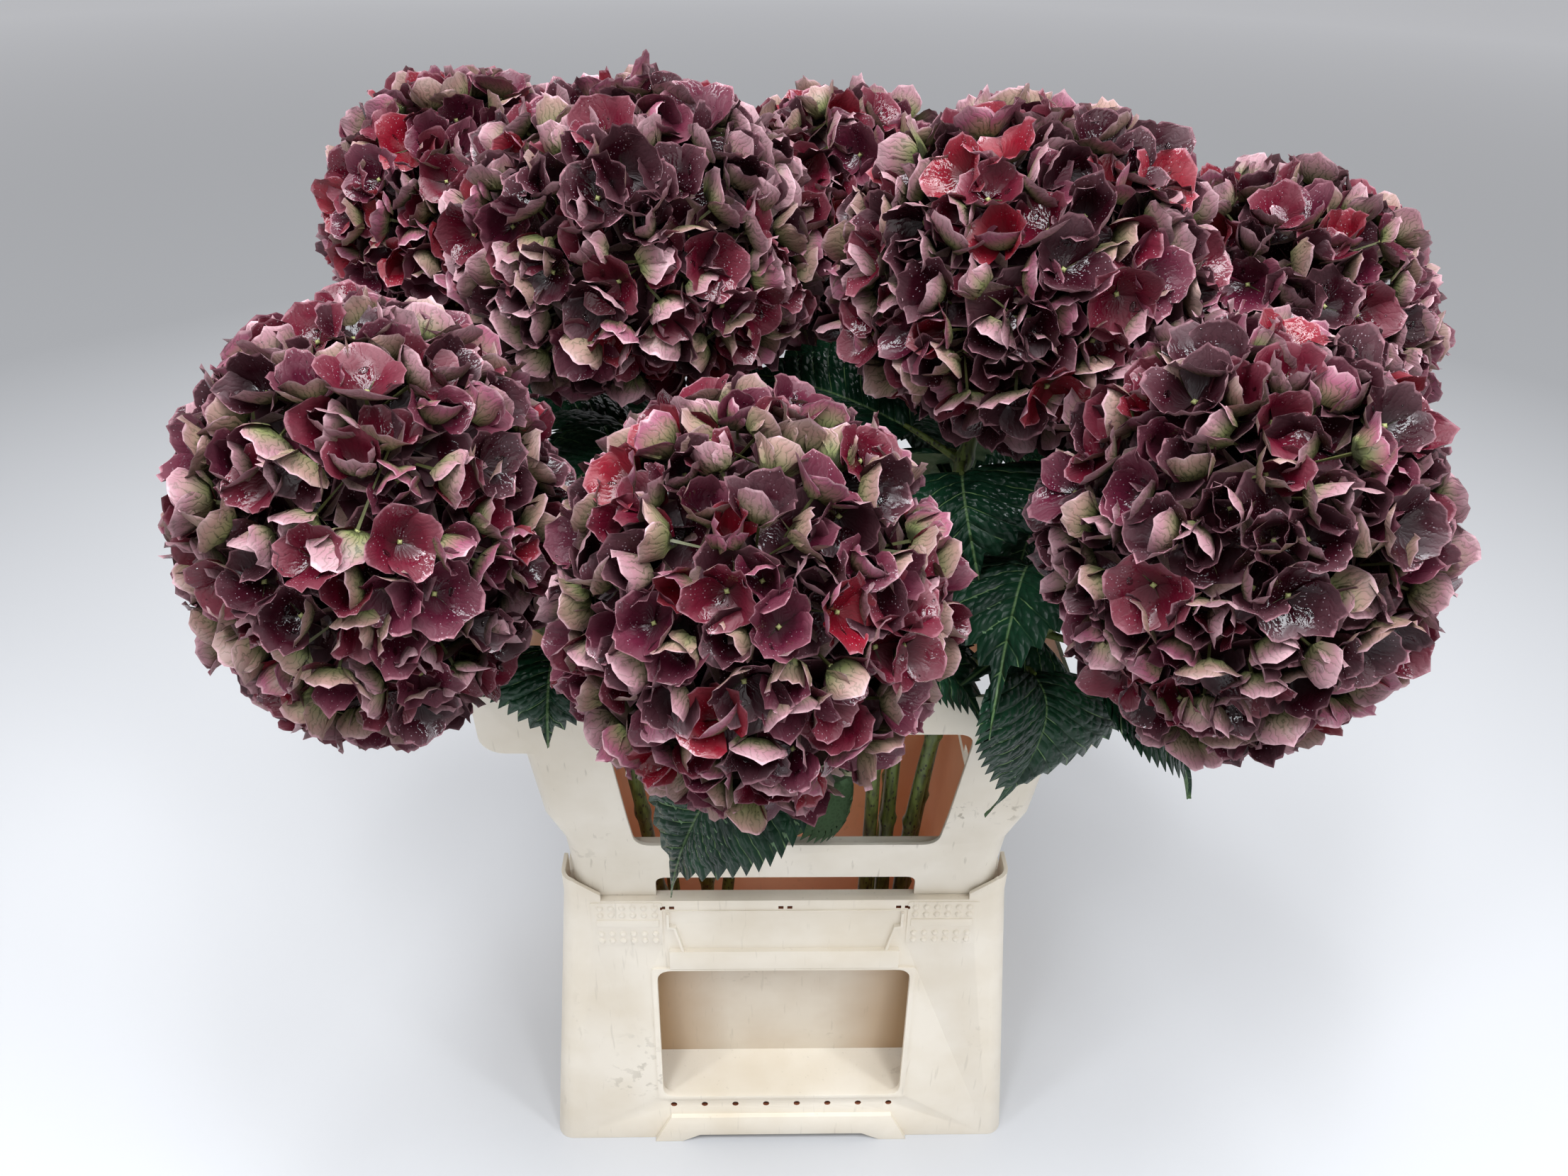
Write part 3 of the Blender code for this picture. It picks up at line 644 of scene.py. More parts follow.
def on_skirt(outline, sign, proud):
    """A slab on the skirt's front or back face that stands proud of it and is rooted in it."""
    rings = [
        [Vector((x, sign * (skirt_half_y(z) + offset), z)) for x, z in outline]
        for offset in (-SLAB_ROOT, proud)
    ]
    return new_object("slab", *loft(rings))


def plastic(name, base, shade, mark, marks, stain=None, smudges=()):
    """Moulded polypropylene: satin, a little cloudy, with rubbed dirt, and optional warm painted shade.
    """
    made, add, place, shader = start_material(name, {"IOR": 1.49, "Specular IOR Level": 0.45})
    # Clouds about 70 mm wide in the colour, which also shift the gloss
    cloud = add(NOISE, {"Vector": place, "Scale": 14.0, "Detail": 4.0})
    colour = add(RAMP, [cloud], [(0.30, shade), (0.62, base)])
    if stain:
        # Painted shade, warm and brown, deepens towards the two ends of the front and back recesses
        out = add(MATH, [add(SPLIT, [place]).outputs["X"]], operation="ABSOLUTE")
        share = add(MATH, [out, RECESS_HALF_WIDTHS["Y"]], operation="DIVIDE")
        near = add(RAMP, [share], [(0.45, 0), (1.0, 1)])
        colour = add(MIX, {"Factor": near, 6: colour, 7: rgba(stain)}, data_type="RGBA").outputs[2]
    # Patches of fine dirt about 90 mm apart, and the places where more of it is rubbed in
    patch = add(NOISE, {"Vector": place, "Scale": 11.0, "Detail": 2.0})
    where = add(RAMP, [patch], [(0.63, 0), (0.78, 1)])
    for centre, reach in smudges:
        away = add("ShaderNodeVectorMath", [place, centre], operation="DISTANCE")
        share = add(MATH, [away.outputs["Value"], reach], operation="DIVIDE")
        spot = add(RAMP, [share], [(0.2, 1), (1.0, 0)])
        where = add(MATH, [where, spot], operation="MAXIMUM")
    # The dirt's grains are 8 mm and finer, and give the bump too
    grain = add(NOISE, {"Vector": place, "Scale": 130.0, "Detail": 6.0})
    what = add(RAMP, [grain], [(0.57, 0), (0.63, 1)])
    dirt = add(MATH, [where, what], operation="MULTIPLY")
    # Upright scratches about 4 mm apart and up to 50 mm long
    stretched = add(MAPPING, {"Vector": place, "Scale": (260.0, 260.0, 18.0)})
    scratch = add(NOISE, {"Vector": stretched, "Scale": 1.0})
    lines = add(RAMP, [scratch], [(0.66, 0), (0.74, 1)])
    faint = add(MATH, [lines, 0.35], operation="MULTIPLY")
    most = add(MATH, [dirt, faint], operation="MAXIMUM")
    soiled = add(MATH, [most, marks], operation="MULTIPLY")
    mixed = add(MIX, {"Factor": soiled, 6: colour, 7: rgba(mark)}, data_type="RGBA")
    feed(shader, {
        "Base Color": mixed.outputs[2],
        "Roughness": add(RAMP, [cloud], [(0.3, 0.36), (0.7, 0.50)]),
        "Normal": add(BUMP, {"Height": grain, "Strength": 0.08, "Distance": 0.0006}),
    })
    return made


def corner_post(sign_x, sign_y, wall):
    """An angle that follows one corner of the rim and stands up from it."""
    rim_x, rim_y = (size / 2 for size in RIM_SIZE)
    plan = []
    for inset in (0.0, wall):
        radius = CORNER_RADIUS - inset
        side = [(rim_x - POST_LEG, rim_y - inset)]
        for step in range(ARC_STEPS + 1):
            angle = math.radians(90 * (1 - step / ARC_STEPS))
            side.append((
                rim_x - CORNER_RADIUS + radius * math.cos(angle),
                rim_y - CORNER_RADIUS + radius * math.sin(angle),
            ))
        side.append((rim_x - inset, rim_y - POST_LEG))
        plan += side if inset == 0 else side[::-1]
    rings = [
        [Vector((sign_x * x, sign_y * y, z)) for x, y in plan]
        for z in (BUCKET_HEIGHT - wall / 2, BUCKET_HEIGHT + POST_HEIGHT)
    ]
    return new_object("post", *loft(rings))


def bucket_shell(wall, materials):
    """The tub, flange, skirt and ledge of the bucket as one turned-out wall."""
    top = BUCKET_HEIGHT
    tub_rim_x, tub_rim_y = (size / 2 for size in TUB_RIM_SIZE)
    floor_x, floor_y = (size / 2 for size in TUB_FLOOR_SIZE)
    rim_x, rim_y = (size / 2 for size in RIM_SIZE)
    foot_x, foot_y = (size / 2 for size in FOOT_SIZE)
    ledge = half_at(FOOT_SIZE, RIM_SIZE, LEDGE_HEIGHT - wall)
    web = half_at(TUB_FLOOR_SIZE, TUB_RIM_SIZE, LEDGE_HEIGHT - wall)
    verts, faces = loft([
        rounded_ring(floor_x - wall, floor_y - wall, wall),
        rounded_ring(tub_rim_x - wall, tub_rim_y - wall, top),
        rounded_ring(rim_x, rim_y, top),
        rounded_ring(foot_x, foot_y, 0.0),
        rounded_ring(foot_x - wall, foot_y - wall, 0.0),
        rounded_ring(ledge[0] - wall, ledge[1] - wall, LEDGE_HEIGHT - wall),
        rounded_ring(*web, LEDGE_HEIGHT - wall),
        rounded_ring(floor_x, floor_y, 0.0),
    ])
    bucket = new_object("bucket_moulding", verts, faces, materials)
    # The tub's inner faces take the inner finish, with its painted glow
    paint(bucket, range(2 * RING_COUNT), 1)
    return bucket


def bucket_cutters(wall, materials):
    """The space between tub and skirt, the recesses that open it, and the smaller holes."""
    under_flange = BUCKET_HEIGHT - wall
    skirt_low = half_at(FOOT_SIZE, RIM_SIZE, LEDGE_HEIGHT)
    skirt_high = half_at(FOOT_SIZE, RIM_SIZE, under_flange)
    tub_low = half_at(TUB_FLOOR_SIZE, TUB_RIM_SIZE, LEDGE_HEIGHT)
    tub_high = half_at(TUB_FLOOR_SIZE, TUB_RIM_SIZE, under_flange)
    space = new_object("space", *loft([
        rounded_ring(skirt_low[0] - wall, skirt_low[1] - wall, LEDGE_HEIGHT),
        rounded_ring(skirt_high[0] - wall, skirt_high[1] - wall, under_flange),
        rounded_ring(*tub_high, under_flange),
        rounded_ring(*tub_low, LEDGE_HEIGHT),
    ], ring_like=True), materials)
    # The faces that the cutter leaves on the tub's wall take the tub wall's finish, with its painted
    # shade
    paint(space, range(2 * RING_COUNT, 4 * RING_COUNT), 2)
    cutters = [space]
    for axis, half_width in RECESS_HALF_WIDTHS.items():
        outline = rounded_outline(
            rectangle(-half_width, half_width, LEDGE_HEIGHT, RECESS_TOP), RECESS_ROUNDING)
        inner = TUB_RIM_SIZE["XY".index(axis)] / 2 - RECESS_BITE
        for sign in (-1, 1):
            cutters.append(prism(outline, axis, sign * inner, sign * CUT_REACH))
    for sign in (-1, 1):
        behind_drain, behind_rim, behind_foot = (
            sign * (half - 3 * wall)
            for half in (skirt_half_y(DRAIN_HEIGHT), RIM_SIZE[1] / 2, skirt_half_y(0)))
        for i in range(DRAIN_HOLES):
            x = (i - (DRAIN_HOLES - 1) / 2) * DRAIN_SPACING
            ring = [(x + DRAIN_RADIUS * c, DRAIN_HEIGHT + DRAIN_RADIUS * s) for c, s in circle(12)]
            cutters.append(stained(prism(ring, "Y", behind_drain, sign * CUT_REACH), materials))
        # The corner posts' front legs slope down towards the middle
        low, high = BUCKET_HEIGHT + CLEAR, BUCKET_HEIGHT + POST_HEIGHT + CLEAR
        for side in (-1, 1):
            near, far = (side * x for x in POST_SLOPE)
            slope = [(near, low), (far, high), (near, high)]
            cutters.append(prism(slope, "Y", behind_rim, sign * CUT_REACH))
        # Pairs of slots under the rim, and the arch under the foot's rail
        for middle in SLOT_MIDDLES:
            for x in (middle + offset for offset in SLOT_OFFSETS):
                cutter = prism(rectangle(x, x + SLOT_WIDTH, *SLOT_HEIGHTS), "Y", behind_rim,
                               sign * CUT_REACH)
                cutters.append(stained(cutter, materials))
        cutters.append(prism(FOOT_ARCH, "Y", behind_foot, sign * CUT_REACH))
    return cutters


def paint(target, verts, finish):
    """Gives a finish to the faces whose points are all among these."""
    for face in target.data.polygons:
        if all(vert in verts for vert in face.vertices):
            face.material_index = finish


def stained(cutter, materials):
    """Gives a cutter the last finish, which its hole's walls take over."""
    for material in materials:
        cutter.data.materials.append(material)
    paint(cutter, range(len(cutter.data.vertices)), len(materials) - 1)
    return cutter


def label_holder(sign):
    """The stepped brackets and the shelf that hold a label strip, left empty."""
    line_half, line_height = LABEL_LINE
    shelf = rectangle(-LABEL_HALF_WIDTH, LABEL_HALF_WIDTH, *LABEL_SHELF)
    line = rectangle(-line_half, line_half, LABEL_TOP, LABEL_TOP + line_height)
    parts = [on_skirt(shelf, sign, SHELF_PROUD), on_skirt(line, sign, LINE_PROUD)]
    for side in (-1, 1):
        bracket = [(side * x, z) for x, z in LABEL_BRACKET]
        parts.append(on_skirt(bracket, sign, BRACKET_PROUD))
    return parts


def dome_tree():
    """Geometry Nodes: the same small dome on each place, turned to its facing."""
    tree, add, given = start_tree(
        "rows of domes", Places="Geometry", Dome="Object", Material="Material")
    shape = add("GeometryNodeObjectInfo", {"Object": given["Dome"]})
    facing = add(ATTRIBUTE, {"Name": "facing"}, data_type="FLOAT_VECTOR")
    copies = add("GeometryNodeInstanceOnPoints", {
        "Points": given["Places"], "Instance": shape.outputs["Geometry"],
        "Rotation": add("FunctionNodeAlignRotationToVector", {"Vector": facing}, axis="Z")})
    real = add("GeometryNodeRealizeInstances", [copies])
    done = add("GeometryNodeSetMaterial", {"Geometry": real, "Material": given["Material"]})
    add("NodeGroupOutput", [done])
    return tree


def scatter(name, places, tree, inputs, attributes):
    """Runs a Geometry Nodes tree on points with attributes, and keeps the plain mesh it makes."""
    mesh = bpy.data.meshes.new(name)
    mesh.from_pydata([tuple(p) for p in places], [], [])
    for key, (kind, values) in attributes.items():
        layer = mesh.attributes.new(key, kind, "POINT")
        field = "vector" if kind == "FLOAT_VECTOR" else "value"
        layer.data.foreach_set(field, np.array(values).ravel())
    made = link_object(name, mesh)
    change = made.modifiers.new("scatter", "NODES")
    change.node_group = tree
    for item in tree.interface.items_tree:
        if item.in_out == "INPUT" and item.name in inputs:
            change[item.identifier] = inputs[item.name]
    apply_modifiers(made)
    return made


def low_dome(shares, sides, height, foot):
    """Rings of a dome that is 1 in radius, with its height and its foot's depth as given."""
    rings = []
    for share in shares:
        angle = share * math.pi / 2
        drop = foot if share == 0 else 0
        rings.append([
            (math.cos(angle) * c, math.cos(angle) * s, height * math.sin(angle) - drop)
            for c, s in circle(sides)
        ])
    return rings


def dome_shape(radius):
    """A flat dome with its foot a little below the surface."""
    rings = [
        [Vector((radius * x, radius * y, z)) for x, y, z in ring]
        for ring in low_dome((0.0, 0.45, 0.80), 12, radius * 0.60, 0.0004)
    ]
    return new_object("dome", *loft(rings), smooth_angle=60)


class ContainerSettings(bpy.types.PropertyGroup):
    """Sizes and colours of the bucket and its collar."""

    wall: length_property("Wall", "Thickness of the moulded walls", 0.003)
    edge: length_property("Edge radius", "Rounding of the moulded edges", 0.0008)
    cream: colour_property("Cream", "Colour of the plastic", "#E9E0D1")
    cream_shade: colour_property("Clouded cream", "Its cloudy patches", "#DDD1BD")
    # The tub wall's colours are painted shade: darker than the outside, and browner towards the recesses'
    # ends
    tub: colour_property("Tub wall", "Tub wall in the recesses", "#D8CCBA")
    tub_shade: colour_property("Tub wall shade", "Its cloudy patches", "#CBBBA6")
    stain: colour_property("Stain", "Brown stain at the recesses' ends", "#B49470")
    collar: colour_property("Collar", "Colour of the collar", "#E6DED0")
    collar_shade: colour_property("Clouded collar", "Its cloudy patches", "#D8CEBC")
    # The inside's colours are painted light: the orange glow of daylight through the thin cream walls, in
    # shade
    inside: colour_property("Inside", "Inner walls with painted glow", "#F8C09C")
    darker_inner_glow: colour_property("Inside shade", "Darker painted glow inside", "#EEAE82")
    residue: colour_property("Residue", "Brown rest in the small holes", "#8A5238")
    dirt: colour_property("Dirt", "Rubbed dirt and scratches", "#80745E")


class HYDRANGEA_OT_bucket(bpy.types.Operator):
    """Build the bucket: tub, skirt, ledge, corner posts, plates and label holders"""

    bl_idname = "hydrangea.bucket"
    bl_label = "Bucket"

    def execute(self, context):
        chosen = context.scene.hydrangea_container
        outer, inner, tub, _, residue = container_materials(chosen)
        wall = chosen.wall
        bucket = bucket_shell(wall, (outer, inner, tub, residue))
        border = RECESS_HALF_WIDTHS["Y"] + RECESS_BORDER
        frame_corners = rectangle(
            -border, border, LEDGE_HEIGHT - FRAME_ROUNDING, RECESS_TOP + RECESS_BORDER / 2)
        recess_frame = rounded_outline(frame_corners, FRAME_ROUNDING)
        plate = rounded_outline(rectangle(*PLATE), PLATE_ROUNDING, 3)
        additions = []
        for sign in (-1, 1):
            additions.append(on_skirt(recess_frame, sign, FRAME_PROUD))
            additions.append(on_skirt(FOOT_LIP, sign, LIP_PROUD))
            additions += label_holder(sign)
            for side in (-1, 1):
                additions.append(corner_post(side, sign, wall))
                for outline, proud in ((plate, PLATE_PROUD), (rectangle(*PLATE_BAR), BAR_PROUD)):
                    additions.append(on_skirt([(side * x, z) for x, z in outline], sign, proud))
        combine(bucket, additions, "UNION")
        combine(bucket, bucket_cutters(wall, (outer, inner, tub, residue)), "DIFFERENCE")
        round_edges(bucket, chosen.edge)
        settle(bucket, "container", "bucket")
        return {"FINISHED"}


class HYDRANGEA_OT_domes(bpy.types.Operator):
    """Set the rows of small domes on the plates by the bucket's rim"""

    bl_idname = "hydrangea.domes"
    bl_label = "Domes on the plates"

    def execute(self, context):
        outer = container_materials(context.scene.hydrangea_container)[0]
        dome = dome_shape(DOME_RADIUS)
        places, facing = [], []
        low_x, high_x = PLATE_BAR[0] + DOME_RADIUS, PLATE_BAR[1] - DOME_RADIUS
        for sign in (-1, 1):
            lean = Vector((0, sign, (FOOT_SIZE[1] - RIM_SIZE[1]) / 2 / BUCKET_HEIGHT)).normalized()
            for side in (-1, 1):
                for z in DOME_ROWS:
                    for i in range(DOME_COLUMNS):
                        x = low_x + (high_x - low_x) * i / (DOME_COLUMNS - 1)
                        places.append((side * x, sign * (skirt_half_y(z) + PLATE_PROUD), z))
                        facing.append(tuple(lean))
        domes = scatter("plate_domes", places, dome_tree(), {"Dome": dome, "Material": outer},
                        {"facing": ("FLOAT_VECTOR", facing)})
        bpy.data.objects.remove(dome)
        settle(domes, "container")
        return {"FINISHED"}


class HYDRANGEA_OT_collar(bpy.types.Operator):
    """Build the collar: a flared sleeve with windows, ears, notches and an inner ledge"""

    bl_idname = "hydrangea.collar"
    bl_label = "Collar"

    def execute(self, context):
        chosen = context.scene.hydrangea_container
        _, inner, _, outer, _ = container_materials(chosen)
        wall = chosen.wall
        outside = [rounded_ring(x, y, z) for z, x, y in COLLAR_OUTLINE]
        inside = [
            rounded_ring(x - wall, y - wall, z, CORNER_RADIUS - wall)
            for z, x, y in reversed(COLLAR_OUTLINE)
        ]
        skin = loft(outside + inside, ring_like=True)
        collar = new_object("collar_moulding", *skin, (outer, inner))
        # The inner faces take the inner finish, with its painted glow
        paint(collar, range(len(outside) * RING_COUNT, 2 * len(outside) * RING_COUNT), 1)
        combine(collar, [ear(x, y, wall) for x in (-1, 1) for y in (-1, 1)], "UNION")
        cutters = []
        bottom, top = WINDOW_HEIGHTS
        for axis, (low, high) in WINDOW_HALF_WIDTHS.items():
            corners = [(-low, bottom), (low, bottom), (high, top), (-high, top)]
            outline = rounded_outline(corners, WINDOW_ROUNDING)
            cutters.append(prism(outline, axis, -CUT_REACH, CUT_REACH))
        for axis, half in NOTCH_HALF_WIDTHS.items():
            corners = rectangle(-half, half, COLLAR_OUTLINE[0][0] - 2 * NOTCH_ROUNDING, NOTCH_TOP)
            outline = rounded_outline(corners, NOTCH_ROUNDING)
            cutters.append(prism(outline, axis, -CUT_REACH, CUT_REACH))
        for side in (-1, 1):
            nick = [(side * x, z) for x, z in COLLAR_NICK]
            cutters.append(prism(nick, "Y", -CUT_REACH, CUT_REACH))
        combine(collar, cutters, "DIFFERENCE")
        low_z, high_z, depth = WINDOW_LEDGE
        half = WINDOW_HALF_WIDTHS["Y"][0] + LEDGE_OVERLAP
        ledges = []
        for sign in (-1, 1):
            outer_y = sign * (collar_half(low_z, "Y") - wall / 2)
            ledges.append(prism(rectangle(-half, half, low_z, high_z), "Y", outer_y,
                                outer_y - sign * depth))
        combine(collar, ledges, "UNION")
        round_edges(collar, chosen.edge)
        settle(collar, "container", "collar")
        return {"FINISHED"}


def ear(sign_x, sign_y, wall):
    """A flat end of the collar's top band that runs out past the side, in the slant of its face."""
    top, half, _ = COLLAR_OUTLINE[-1]
    root = half - EAR_ROOT
    corners = [(root, EAR_BOTTOM)]
    for step in range(7):
        angle = math.radians(-90 + 15 * step)
        corners.append((
            EAR_REACH - EAR_ROUNDING * (1 - math.cos(angle)),
            EAR_BOTTOM + EAR_ROUNDING * (1 + math.sin(angle)),
        ))
    for step in range(5):
        angle = math.radians(22.5 * step)
        corners.append((
            EAR_REACH - EAR_TOP_ROUNDING * (1 - math.cos(angle)),
            top - EAR_TOP_ROUNDING * (1 - math.sin(angle)),
        ))
    corners.append((root, top))
    rings = [
        [Vector((sign_x * x, sign_y * (collar_half(z, "Y") - inset), z)) for x, z in corners]
        for inset in (EAR_INSET, EAR_INSET + wall * 0.9)
    ]
    return new_object("ear", *loft(rings))


def container_materials(chosen):
    """The container's finishes, made once: outer, inner with painted glow, tub wall with painted shade,
    collar and the small holes'.
    """
    dark_residue = tuple(c * 0.6 for c in chosen.residue)
    kinds = {
        # Satin warm off-white, a little cloudy and scratched
        "moulded cream polypropylene": (chosen.cream, chosen.cream_shade, chosen.dirt, 0.45),
        # Orange-brown, painted light: the inside lies in shade and glows with daylight through the thin
        # cream walls
        "stained inner polypropylene": (chosen.inside, chosen.darker_inner_glow, chosen.dirt, 0.25),
        # Painted shade: a little darker than the outside, as the wall lies in the recesses, and browner
        # towards their ends
        "stained tub wall": (chosen.tub, chosen.tub_shade, chosen.dirt, 0.4, chosen.stain),
        # A little greyer than the bucket, and the most rubbed and soiled
        "greyed collar polypropylene": (
            chosen.collar, chosen.collar_shade, chosen.dirt, 0.8, None, SMUDGES),
        # Dark brown, what dried in the small holes
        "brown residue on polypropylene": (chosen.residue, dark_residue, chosen.dirt, 0.0),
    }
    return tuple(bpy.data.materials.get(name) or plastic(name, *values)
                 for name, values in kinds.items())


def head_axis(shoot):
    """The way a flower head faces: along its stem, leaning out a little more than the stem does."""
    rise = Vector(shoot.head) - Vector((*shoot.rim, RIM_HEIGHT))
    return Vector((rise.x * LEAN, rise.y * LEAN, rise.z)).normalized()


def stem_path(shoot):
    """Evenly spaced points of a smooth curve from a stem's cut end to its head's middle."""
    head = Vector(shoot.head)
    knots = [
        Vector((*shoot.foot, STEM_FOOT_HEIGHT)),
        Vector((*shoot.rim, RIM_HEIGHT)),
        head - head_axis(shoot) * NECK_LENGTH,
        head,
    ]
    slopes = [knots[1] - knots[0]]
    slopes += [(knots[i + 1] - knots[i - 1]).normalized() for i in (1, 2)]
    slopes.append(knots[3] - knots[2])
    fine = []
    for i in range(3):
        start, end = knots[i], knots[i + 1]
        span = (end - start).length
        m0, m1 = slopes[i].normalized() * span, slopes[i + 1].normalized() * span
        for step in range(CURVE_STEPS):
            t = step / CURVE_STEPS
            fine.append(
                start * (2 * t ** 3 - 3 * t ** 2 + 1) + m0 * (t ** 3 - 2 * t ** 2 + t)
                + end * (3 * t ** 2 - 2 * t ** 3) + m1 * (t ** 3 - t ** 2)
            )
    fine.append(head)
    return fine


class Path:
    """A curve that can be asked for a point and a direction at a distance from its start."""

    def __init__(self, points):
        self.points = points
        self.runs = [0.0]
        for a, b in zip(points, points[1:]):
            self.runs.append(self.runs[-1] + (b - a).length)
        self.length = self.runs[-1]

    def at(self, distance):
        for i in range(len(self.points) - 1):
            if distance <= self.runs[i + 1] or i == len(self.points) - 2:
                share = (distance - self.runs[i]) / (self.runs[i + 1] - self.runs[i])
                return self.points[i].lerp(self.points[i + 1], share)

    def along(self, distance):
        return (self.at(distance + TANGENT_STEP) - self.at(distance - TANGENT_STEP)).normalized()

    def radius(self, distance):
        return STEM_RADIUS_FOOT + (STEM_RADIUS_TIP - STEM_RADIUS_FOOT) * distance / self.length


class Skin:
    """Points, faces and face finishes of a piece that grows part by part."""

    def __init__(self):
        self.verts = []
        self.faces = []
        self.finish = []
        self.uvs = []

    def add(self, verts, faces, finish=0, uvs=None):
        start = len(self.verts)
        self.verts += verts
        self.faces += [tuple(start + i for i in face) for face in faces]
        self.finish += list(finish) if isinstance(finish, (list, tuple)) else [finish] * len(faces)
        self.uvs += uvs if uvs else [(0.0, 0.0)] * len(verts)

    def build(self, name, materials, smooth_angle=70):
        mesh = bpy.data.meshes.new(name)
        mesh.from_pydata([tuple(v) for v in self.verts], [], self.faces)
        for material in materials:
            mesh.materials.append(material)
        mesh.polygons.foreach_set("material_index", self.finish)
        layer = mesh.uv_layers.new(name="surface")
        corners = np.empty(len(mesh.loops), np.int32)
        mesh.loops.foreach_get("vertex_index", corners)
        layer.data.foreach_set("uv", np.array(self.uvs, np.float32)[corners].ravel())
        mesh.shade_smooth()
        if smooth_angle:
            mesh.set_sharp_from_angle(angle=math.radians(smooth_angle))
        return link_object(name, mesh)


def tube_rings(points, radii, sides, wobble=None):
    """Rings round a list of points, each square to the way the points run."""
    rings = []
    side = None
    for i, centre in enumerate(points):
        along = (points[min(i + 1, len(points) - 1)] - points[max(i - 1, 0)]).normalized()
        if side is None:
            side = along.orthogonal().normalized()
        side = (side - along * side.dot(along)).normalized()
        other = along.cross(side)
        ring = []
        for k in range(sides):
            a = math.tau * k / sides
            radius = radii[i] * (wobble(i, a) if wobble else 1.0)
            ring.append(centre + (side * math.cos(a) + other * math.sin(a)) * radius)
        rings.append(ring)
    return rings


class StemSettings(bpy.types.PropertyGroup):
    """Sizes and colours of the stems and leaves."""

    sides: bpy.props.IntProperty(name="Sides", description="Facets round a stem", default=14)
    ring_step: length_property("Ring step", "Distance between a stem's rings", 0.005)
    joint_spacing: length_property("Joint spacing", "Distance between a stem's joints", 0.105)
    stem: colour_property("Stem", "Green of the stems", "#5C6A30")
    stem_shade: colour_property("Stem shade", "Darker streaks and specks", "#38401A")
    pore: colour_property("Pores", "Dark freckles of the bark", "#1E1A12")
    leaf: colour_property("Leaf", "Upper side of the leaves", "#163824")
    leaf_shade: colour_property("Leaf shade", "Darker patches of the upper side", "#0E261A")
    vein: colour_property("Vein", "Midrib and side veins", "#84A26A")
    underside: colour_property("Underside", "Lower side of the leaves", "#5E7A58")
    teeth: bpy.props.IntProperty(name="Teeth", description="Teeth on each side of a leaf", default=17)
    tooth: length_property("Tooth", "How far a tooth stands out", 0.0056)
    vein_spacing: length_property("Vein spacing", "Distance between side veins", 0.0125)
    relief: length_property("Relief", "Height of the quilting between veins", 0.0020)


def stem_bark(chosen):
    """Green bark of a young woody stem: streaked along its length and freckled with dark pores."""
    made, add, place, shader = start_material(
        "green stem bark", {"Roughness": 0.45, "Specular IOR Level": 0.4})
    # Streaks about 3 mm wide and 17 mm long
    run = add(MAPPING, {"Vector": place, "Scale": (1.0, 1.0, 0.18)})
    streak = add(NOISE, {"Vector": run, "Scale": 320.0, "Detail": 3.0})
    colour = add(RAMP, [streak], [(0.35, chosen.stem_shade), (0.60, chosen.stem)])
    # The pores are 0.4 mm, drawn about twice as large so that they show
    flat = add(MAPPING, {"Vector": place, "Scale": (1.0, 1.0, 0.5)})
    pores = add(CELLS, {"Vector": flat, "Scale": 330.0})
    dots = add(RAMP, [pores], [(0.20, 1), (0.32, 0)])
    mixed = add(MIX, {"Factor": dots, 6: colour, 7: rgba(chosen.pore)}, data_type="RGBA")
    feed(shader, {
        "Base Color": mixed.outputs[2],
        "Normal": add(BUMP, {"Height": streak, "Strength": 0.3, "Distance": 0.0005}),
    })
    return made


def vein_run(add, along, across, spacing):
    """Which side vein a place on a blade lies by, in whole numbers and shares; they run forward."""
    out = add(MATH, [across], operation="ABSOLUTE")
    slant = add(MATH, [out, VEIN_SLOPE], operation="MULTIPLY")
    forward = add(MATH, [along, slant], operation="SUBTRACT")
    squared = add(MATH, [out, out], operation="MULTIPLY")
    bow = add(MATH, [squared, VEIN_CURVE], operation="MULTIPLY")
    curved = add(MATH, [forward, bow], operation="ADD")
    return add(MATH, [curved, spacing], operation="DIVIDE")


